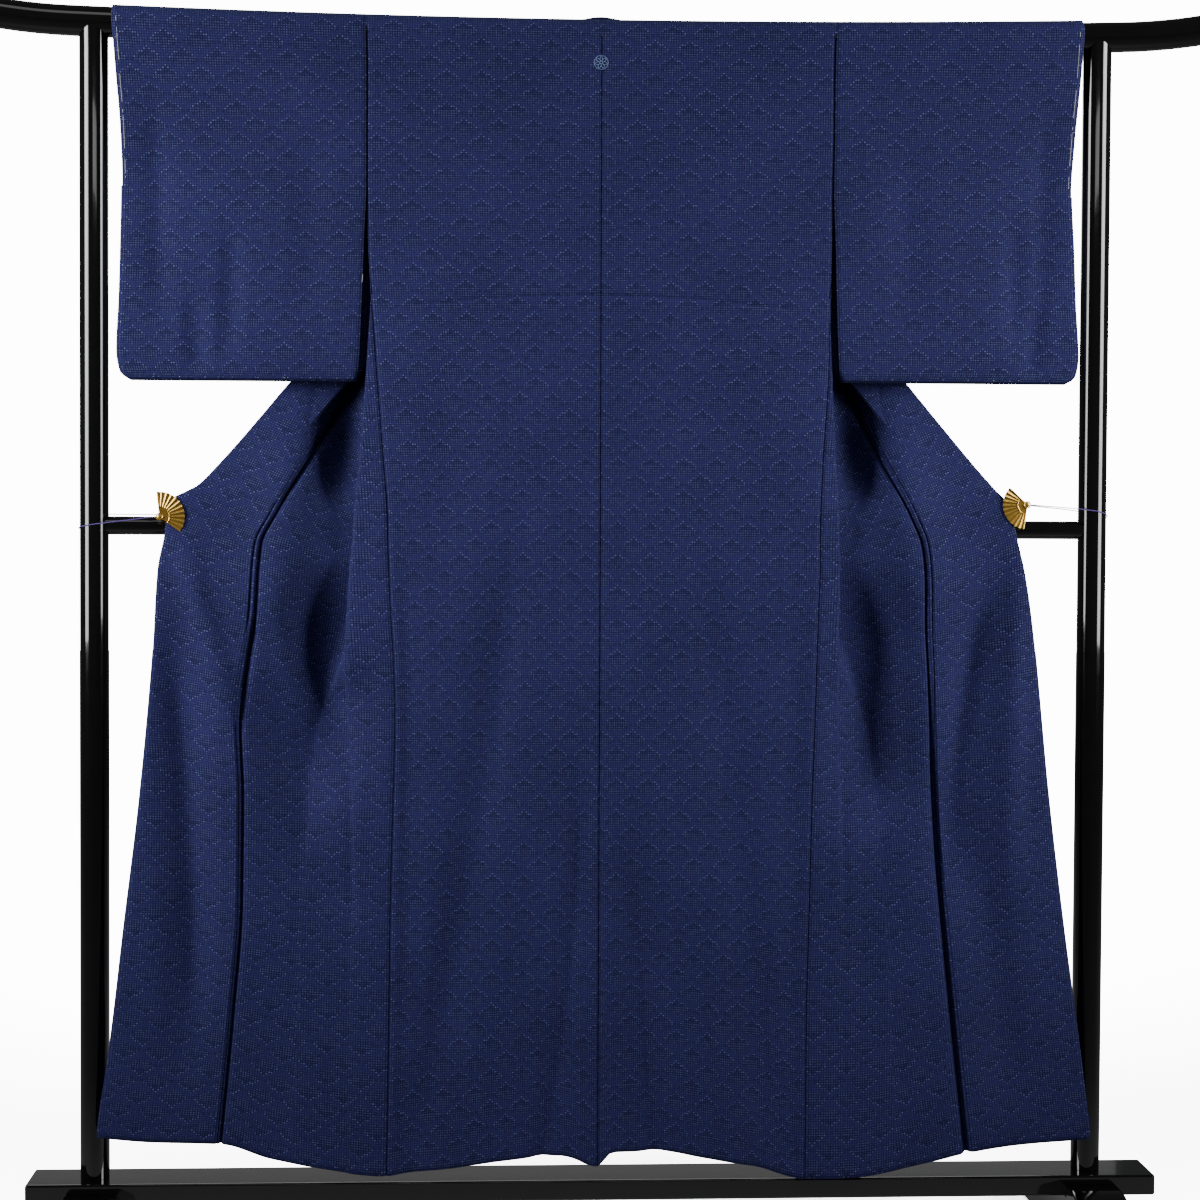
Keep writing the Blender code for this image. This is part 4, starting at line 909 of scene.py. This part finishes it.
# Its sewn edge and its free edge, each as x, drop and y. A drop is the way down along the
# cloth over the bar. Behind the neck both sides are alike
NECK_ROWS = (
    (0, 0.12, 2.25, 0, 5.6, 2.5), (3.2, 0.12, 2.25, 2.2, 5.65, 2.5),
    (6.2, 0.12, 2.25, 3.9, 5.9, 2.5), (8.6, 0.12, 2.25, 4.8, 6.3, 2.52),
    (8.9, 0.75, 2.25, 4.95, 6.5, 2.53), (8.96, 1.5, 2.25, 5.1, 6.75, 2.55),
    (8.96, 2.4, 2.25, 5.3, 7.2, 2.57), (8.96, 3.53, 2.25, 5.6, 7.9, 2.6),
)
COLLAR = {
    LEFT: NECK_ROWS + (
        (10.1, 5.83, 2.3, 6.1, 9.4, 2.7), (11.25, 8.03, 2.4, 6.9, 11.5, 2.8),
        (13.5, 12.53, 2.3, 8.9, 15.8, 2.75), (16, 17.53, 2.05, 11.4, 20.8, 2.45),
    ),
    RIGHT: NECK_ROWS + (
        (10.2, 5.83, 2.3, 6.2, 9.4, 2.7), (11.45, 8.03, 2.4, 7.1, 11.5, 2.8),
        (14, 12.53, 2.3, 9.3, 15.8, 2.75), (16.8, 17.53, 2.05, 12.2, 20.8, 2.45),
    ),
}


def outer_layer(side, x, z):
    """Depth of the front's outermost layer at a place, cm."""
    section = front_section(side, z)
    line = [section[9], section[-1]]
    if z <= TIP_TOP:
        line.append((float(edge[side]("edge_x", z)), float(edge[side]("edge_y", z))))
    return float(np.interp(x, [p[0] for p in line], [p[1] for p in line]))


def collar_lines(side):
    """The collar from the centre back to the clip, as lines from sewn to free edge."""
    quarter = WRAP_RADIUS * math.pi / 2
    parts = np.linspace(0, 1, COLLAR_STEPS + 1)
    lines = []
    for sewn_x, sewn_drop, sewn_y, free_x, free_drop, free_y in COLLAR[side]:
        x, drop = side * blend(sewn_x, free_x, parts) * CM, blend(sewn_drop, free_drop, parts) * CM
        turn, radius = drop / WRAP_RADIUS, WRAP_RADIUS + COLLAR_LIFT * ease(parts * 4)
        on_bar = bar_axis(np.minimum(abs(x), NECK_HALF)) + radius * np.cos(turn)
        y = np.where(drop < quarter, radius * np.sin(turn), blend(sewn_y, free_y, parts) * CM)
        z = np.where(drop < quarter, on_bar, TOP * CM - (drop - quarter))
        z = z + NECK_PEAK * np.exp(-(x / NECK_PEAK_WIDTH) ** 2) * np.maximum(0, 1 - 3 * parts)
        lines.append(joined(x, y, z))
    sewn = [(float(edge[side]("edge_x", level)) - 0.1, level) for level in COLLAR_LEVELS]
    for i, (x, z) in enumerate(sewn):
        before, after = sewn[max(i - 1, 0)], sewn[min(i + 1, len(sewn) - 1)]
        along = Vector((after[0] - before[0], after[1] - before[1])).normalized()
        hang = PINCHED_BEHIND if i == len(sewn) - 1 else HANG_BEHIND
        x, z = x + parts * COLLAR_WIDTH * along.y, z - parts * COLLAR_WIDTH * along.x
        outermost = np.array([outer_layer(side, *spot) for spot in zip(x, z)])
        lines.append(joined(side * x, outermost + blend(SEWN_BEHIND, hang, ease(parts * 5)), z) * CM)
    return lines


def collar_grid():
    left, right = collar_lines(LEFT), collar_lines(RIGHT)
    rough = np.array(left[::-1] + right[1:])
    lead = way_along(rough[:, 0])
    fine = np.linspace(0, lead[-1], round(lead[-1] / (COLLAR_ROW * CM)) + 1)
    places = np.stack([np.stack([curve_through(lead, rough[:, j, k], fine) for k in range(3)], axis=-1)
                       for j in range(rough.shape[1])], axis=1)
    across = np.linspace(0, COLLAR_WIDTH * CM, COLLAR_STEPS + 1)
    return places, joined(across + CHART_ASIDE, fine[:, None])


collar = silk_piece("collar", cloth_build(*collar_grid()), COLLAR_THICK)

# Basting and tacking: white silk thread still holds the fold of both sleeve openings in
# long running stitches, and small tacks hold the seams. Each run lies just off the cloth.
THREAD_RADIUS = 0.00028
THREAD_OFF = 0.078
STITCH_POINTS = 9
FROM_EDGE_TOP, FROM_EDGE_FOOT = 0.60, 0.40
BASTING = {
    # upper and lower end of each stitch on the back of the sleeve opening
    LEFT: ((162.4, 161.7), (160.9, 156.7), (154.9, 151.3), (150.3, 149.9), (149.6, 145.3),
           (143.9, 142.1), (141.7, 141.5)),
    RIGHT: ((162.2, 161.6), (160.6, 156.2), (154.6, 150.9), (149.8, 149.4), (149, 144.6),
            (143.2, 141.6)),
}
# Tacks: heights beside the outer edge, and ways in from that edge along the foot, cm
SIDE_TACKS = (137.6, 133.9, 130.1, 126.4, 122.6)
FOOT_TACKS = (3.4, 6.9, 10.3, 13.8, 17.2, 20.7, 24.1, 27.6)
TACK_LENGTH = 0.16
SIDE_TACKS_IN, FOOT_TACKS_UP, FOOT_TACK_RISE = 0.28, 0.42, 0.03
ARM_TACK, ARM_TACK_STEP = (-31.45, -2.32, 129.0), (-0.03, 0, -0.35)
THREAD_COLOURS = (0.42, 0.43, 0.50, 1), (0.80, 0.80, 0.84, 1)
ROSETTE_COLOURS = (0.09, 0.14, 0.34, 1), (0.26, 0.35, 0.62, 1)


def thread_finish(name, colours, twist, roughness):
    made, nodes = new_finish(name)
    nodes.surface({"Base Color": nodes.mix(nodes.noise(nodes.place(), twist), *colours),
                   "Roughness": roughness})
    return made


def thread_tree():
    """Every run of edges becomes a round thread of one size."""
    tree = bpy.data.node_groups.new("Thread", 'GeometryNodeTree')
    tree.interface.new_socket("Runs", in_out='INPUT', socket_type='NodeSocketGeometry')
    tree.interface.new_socket("Radius", in_out='INPUT', socket_type='NodeSocketFloat')
    tree.interface.new_socket("Finish", in_out='INPUT', socket_type='NodeSocketMaterial')
    tree.interface.new_socket("Thread", in_out='OUTPUT', socket_type='NodeSocketGeometry')
    graph = Graph(tree)
    given = graph.node("NodeGroupInput")
    line = graph.node("GeometryNodeMeshToCurve", sockets={0: given})
    section = graph.node("GeometryNodeCurvePrimitiveCircle", sockets={
        "Resolution": 6, "Radius": given.pin(1)})
    tube = graph.node("GeometryNodeCurveToMesh", sockets={0: line, 1: section, "Fill Caps": True})
    soft = graph.node("GeometryNodeSetShadeSmooth", sockets={0: tube})
    whole = graph.node("GeometryNodeRealizeInstances", sockets={0: soft})
    dressed = graph.node("GeometryNodeSetMaterial", sockets={0: whole, "Material": given.pin(2)})
    graph.node("NodeGroupOutput", sockets={0: dressed})
    return tree


thread_nodes_tree = thread_tree()


def thread_piece(name, runs, radius, finish):
    """One mesh of threads along runs of places in metres."""
    places, edges = [], []
    for run in runs:
        start = len(places)
        places += [tuple(place) for place in run]
        edges += [(start + k, start + k + 1) for k in range(len(run) - 1)]
    mesh = bpy.data.meshes.new(name)
    mesh.from_pydata(places, edges, [])
    guide = linked(name, mesh)
    modifier = guide.modifiers.new("Thread", 'NODES')
    modifier.node_group = thread_nodes_tree
    for item in thread_nodes_tree.interface.items_tree:
        if item.name == "Radius":
            modifier[item.identifier] = radius
        elif item.name == "Finish":
            modifier[item.identifier] = finish
    graph = bpy.context.evaluated_depsgraph_get()
    solid = bpy.data.meshes.new_from_object(guide.evaluated_get(graph))
    bpy.data.objects.remove(guide)
    solid.name = name
    piece = linked(name, solid)
    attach(piece, "root")


def on_sleeve(side, height, inside):
    """A place just off the back of a sleeve, a way in from its outer edge, in metres."""
    edge_x = float(sleeve[side]("outer_x", min(height, TOP)))
    axis = bar_axis((edge_x - inside) * CM) / CM
    if height > axis:
        radius = WRAP_RADIUS / CM + THREAD_OFF
        return Vector((side * (edge_x - inside), -math.sqrt(radius**2 - (height - axis) ** 2), height)) * CM
    slope = (axis - TOP) / SLEEVE_RISE
    level = height if height < TOP - SLEEVE_RISE else (height + slope * (TOP - SLEEVE_RISE)) / (1 + slope)
    inner_x, edge_x = (float(sleeve[side](name, level)) for name in ("inner_x", "outer_x"))
    _, _, behind, _ = sleeve_layers(side, level, (edge_x - inside - inner_x) / (edge_x - inner_x))
    return Vector((side * (edge_x - inside), float(behind) - THREAD_OFF, height)) * CM


basting = thread_finish("basting_thread", THREAD_COLOURS, 2600.0, 0.7)
for hand in (LEFT, RIGHT):
    runs = []
    for high, low in BASTING[hand]:
        runs.append([on_sleeve(hand, height, blend(FROM_EDGE_FOOT, FROM_EDGE_TOP, (height - 141) / 20))
                     for height in np.linspace(high, low, STITCH_POINTS)])
    for height in SIDE_TACKS:
        runs.append([on_sleeve(hand, height - k * TACK_LENGTH / 2, SIDE_TACKS_IN) for k in range(3)])
    for inside in FOOT_TACKS:
        foot = lowest_row[hand] + FOOT_TACKS_UP
        runs.append([on_sleeve(hand, foot + k * FOOT_TACK_RISE, inside + k * TACK_LENGTH / 2)
                     for k in range(3)])
    if hand == LEFT:
        runs.append([(Vector(ARM_TACK) + k * Vector(ARM_TACK_STEP)) * CM for k in range(4)])
    thread_piece("basting_" + WORD[hand], runs, THREAD_RADIUS, basting)

# The small round on the back, below the neck: a plain rosette of pale blue stitches in the
# place and size of the one that is worn there. Seven loops lie in a ring.
ROSETTE_AT = (-0.11, 157.2)
ROSETTE_RADIUS = 0.92
ROSETTE_LOOPS = 7
LOOP_MIDDLE, LOOP_REACH, LOOP_WIDTH = 0.52, 0.34, 0.19
ROSETTE_THREAD = 0.00040


def on_rosette(along, beside, lean):
    """A place just off the back, along and beside a line that leans from the rosette's middle."""
    x = ROSETTE_AT[0] + along * math.cos(lean) - beside * math.sin(lean)
    z = ROSETTE_AT[1] + along * math.sin(lean) + beside * math.cos(lean)
    return Vector((x, float(back("middle_y", z)) - THREAD_OFF, z)) * CM


runs = [[on_rosette(ROSETTE_RADIUS, 0, turn) for turn in np.linspace(0, math.tau, 49)]]
for k in range(ROSETTE_LOOPS):
    lean = math.tau * k / ROSETTE_LOOPS + math.pi / 2
    runs.append([on_rosette(ROSETTE_RADIUS * (LOOP_MIDDLE + LOOP_REACH * math.cos(turn)),
                            ROSETTE_RADIUS * LOOP_WIDTH * math.sin(turn), lean)
                 for turn in np.linspace(0, math.tau, 15)])
thread_piece("rosette_of_stitches", runs, ROSETTE_THREAD,
             thread_finish("rosette_thread", ROSETTE_COLOURS, 1900.0, 0.65))

# Clips: a gilt brass fan with pressed pleats grips the cloth against a plain jaw behind it.
# One pin joins the two plates, and a wire loop at the pin takes the ends of the cord.
PIVOTS = {LEFT: (58.0, 96.9, -36, 96), RIGHT: (57.4, 99.1, 137, 262)}
FAN_Y = -0.0270
FAN_RADIUS = 0.0325
FAN_HUB = 0.0128
FAN_START = 0.0034
FAN_PLEATS = 11
PLEAT_DEPTH = 0.0011
SCALLOP = 0.0006
FAN_WALL = 0.0006
JAW_Y = -0.0190
JAW_RADIUS = 0.022
JAW_WALL = 0.0010
PIN_RADIUS = 0.0034
PIN_PROUD = 0.0018
CORD_LOOP_RADIUS, CORD_LOOP_LEAN = 0.0042, 0.0006
WIRE, CORD_LOOP_WIRE = 0.0006, 0.0008
PLEAT_Y, HUB_Y, HUB_WIRE_Y, SIDE_WIRE_Y, CORD_LOOP_Y = (
    FAN_Y + off for off in (0.0004, -0.0003, -0.0008, -0.0007, -0.0012))
# The pin's places along y and its radius there
PIN_PROFILE = (
    (FAN_Y - PIN_PROUD, 0.0), (FAN_Y - PIN_PROUD, 0.0020), (FAN_Y - PIN_PROUD + 0.0006, 0.0031),
    (FAN_Y - PIN_PROUD + 0.0014, PIN_RADIUS), (JAW_Y + PIN_PROUD - 0.0005, PIN_RADIUS),
    (JAW_Y + PIN_PROUD, 0.0028), (JAW_Y + PIN_PROUD, 0.0),
)
STEPS_PER_PLEAT = 8
FAN_RINGS = (FAN_HUB, 0.018, 0.024, FAN_RADIUS)
HUB_RINGS, JAW_RINGS = (FAN_START, 0.008, FAN_HUB), (FAN_START, 0.012, JAW_RADIUS)
# The bright gilt, and a deep brown. The deep brown is mixed in as painted shade down the pleat valleys, and
# as a fixed darker, rougher brass on the hub plate, pin and jaw.
GILT_AND_PAINTED_SHADE_COLOURS = (1.0, 0.66, 0.16, 1), (0.34, 0.16, 0.012, 1)

gilt, nodes = new_finish("gilt_brass")
# A point attribute darkens and roughens the gilt. In the pleat valleys this is painted shade; on the hub, jaw
# and pin it is a fixed darker brass.
painted_shade_and_darkening = nodes.node("ShaderNodeAttribute", {"attribute_name": "painted_shade_and_darkening"}, output=2)
beaten = nodes.noise(nodes.place(), 900.0)
nodes.surface({
    "Base Color": nodes.mix(painted_shade_and_darkening, *GILT_AND_PAINTED_SHADE_COLOURS), "Metallic": 1.0,
    "Roughness": beaten * 0.14 + painted_shade_and_darkening * 0.14 + 0.20, "Normal": nodes.bump(beaten, 0.35, 0.0003)})


class Brass:
    """The parts of one clip, gathered round its pin, with how far each point is darkened: painted shade down
    the pleat valleys, a fixed darker brass on the other parts.
    """

    def __init__(self, centre):
        self.centre, self.build = centre, bmesh.new()
        self.painted_shade_and_darkening = self.build.verts.layers.float.new("painted_shade_and_darkening")

    def place(self, radius, angle, y):
        return self.centre + Vector((radius * math.cos(angle), y, radius * math.sin(angle)))

    def grid(self, places, painted_shade_and_darkening, loop=False):
        """A skin over rows of places, with one darkening or a list of them by row."""
        rows = skin(self.build, places, loop)
        for row, amount in zip(rows, np.broadcast_to(painted_shade_and_darkening, len(rows))):
            for vert in row:
                vert[self.painted_shade_and_darkening] = float(amount)
        return rows

    def wire(self, path, radius, closed=False):
        """A round wire along a path."""
        path = [Vector(place) for place in path]
        rings = []
        for k, place in enumerate(path):
            before = path[k - 1] if k or closed else place
            after = path[(k + 1) % len(path)] if k + 1 < len(path) or closed else place
            turn = (after - before).to_track_quat('Z', 'Y')
            rings.append([place + turn @ Vector((radius * math.cos(a), radius * math.sin(a), 0))
                          for a in np.linspace(0, math.tau, 10, endpoint=False)])
        rows = self.grid(rings + ([rings[0]] if closed else []), 0, True)
        if not closed:
            self.build.faces.new(rows[0])
            self.build.faces.new(rows[-1])

    def plate(self, places, painted_shade_and_darkening, wall):
        """A skin with a second one behind it, closed round its rim."""
        front_rows = self.grid(places, painted_shade_and_darkening)
        behind = [[place + Vector((0, wall, 0)) for place in row] for row in places]
        rear_rows = self.grid(behind, painted_shade_and_darkening)
        rims = []
        for rows in (front_rows, rear_rows):
            rims.append(rows[0] + [row[-1] for row in rows[1:]] + rows[-1][-2::-1]
                        + [row[0] for row in rows[-2:0:-1]])
        near, far = rims
        for k in range(len(near)):
            after = (k + 1) % len(near)
            self.build.faces.new((near[k], near[after], far[after], far[k]))


for hand in (LEFT, RIGHT):
    pivot_x, pivot_z, first, last = PIVOTS[hand]
    clip = Brass(Vector((hand * pivot_x * CM, 0, pivot_z * CM)))
    sweep = np.radians(np.linspace(first, last, FAN_PLEATS * STEPS_PER_PLEAT + 1))
    phase = np.arange(len(sweep)) / STEPS_PER_PLEAT * math.tau
    ridge = (0.5 + 0.5 * np.cos(phase)) ** 1.6
    pleats = []
    for angle, high in zip(sweep, ridge):
        line = []
        for radius in FAN_RINGS:
            out = (radius - FAN_HUB) / (FAN_RADIUS - FAN_HUB)
            reach = radius + SCALLOP * high * (radius == FAN_RADIUS)
            line.append(clip.place(reach, angle, PLEAT_Y - PLEAT_DEPTH * high * (0.35 + 0.65 * out)))
        pleats.append(line)
    # Painted shade: the pleat valleys get most of the deep brown, and the ridges keep the bright gilt.
    clip.plate(pleats, 0.85 * (1 - ridge), FAN_WALL)
    for radii, y, angles, dull, wall in ((HUB_RINGS, HUB_Y, sweep, 0.75, FAN_WALL),
                                         (JAW_RINGS, JAW_Y, sweep[::3], 0.3, JAW_WALL)):
        clip.plate([[clip.place(radius, angle, y) for radius in radii] for angle in angles], dull, wall)
    clip.wire([clip.place(FAN_HUB, angle, HUB_WIRE_Y) for angle in sweep[::2]], WIRE)
    for angle in (sweep[0], sweep[-1]):
        clip.wire([clip.place(radius, angle, SIDE_WIRE_Y)
                   for radius in np.linspace(FAN_START, FAN_RADIUS, 6)], WIRE)
    turns = np.linspace(0, math.tau, 24, endpoint=False)
    clip.grid([[clip.place(radius, turn, y) for turn in turns] for y, radius in PIN_PROFILE],
              0.35, loop=True)
    clip.wire([clip.place(CORD_LOOP_RADIUS, turn, CORD_LOOP_Y + CORD_LOOP_LEAN * math.sin(turn))
               for turn in np.linspace(0, math.tau, 36, endpoint=False)], CORD_LOOP_WIRE, closed=True)
    bmesh.ops.remove_doubles(clip.build, verts=clip.build.verts, dist=1e-6)
    finished("gilt_clip_" + WORD[hand], smoothed(clip.build, 32), gilt, "clip_" + WORD[hand])
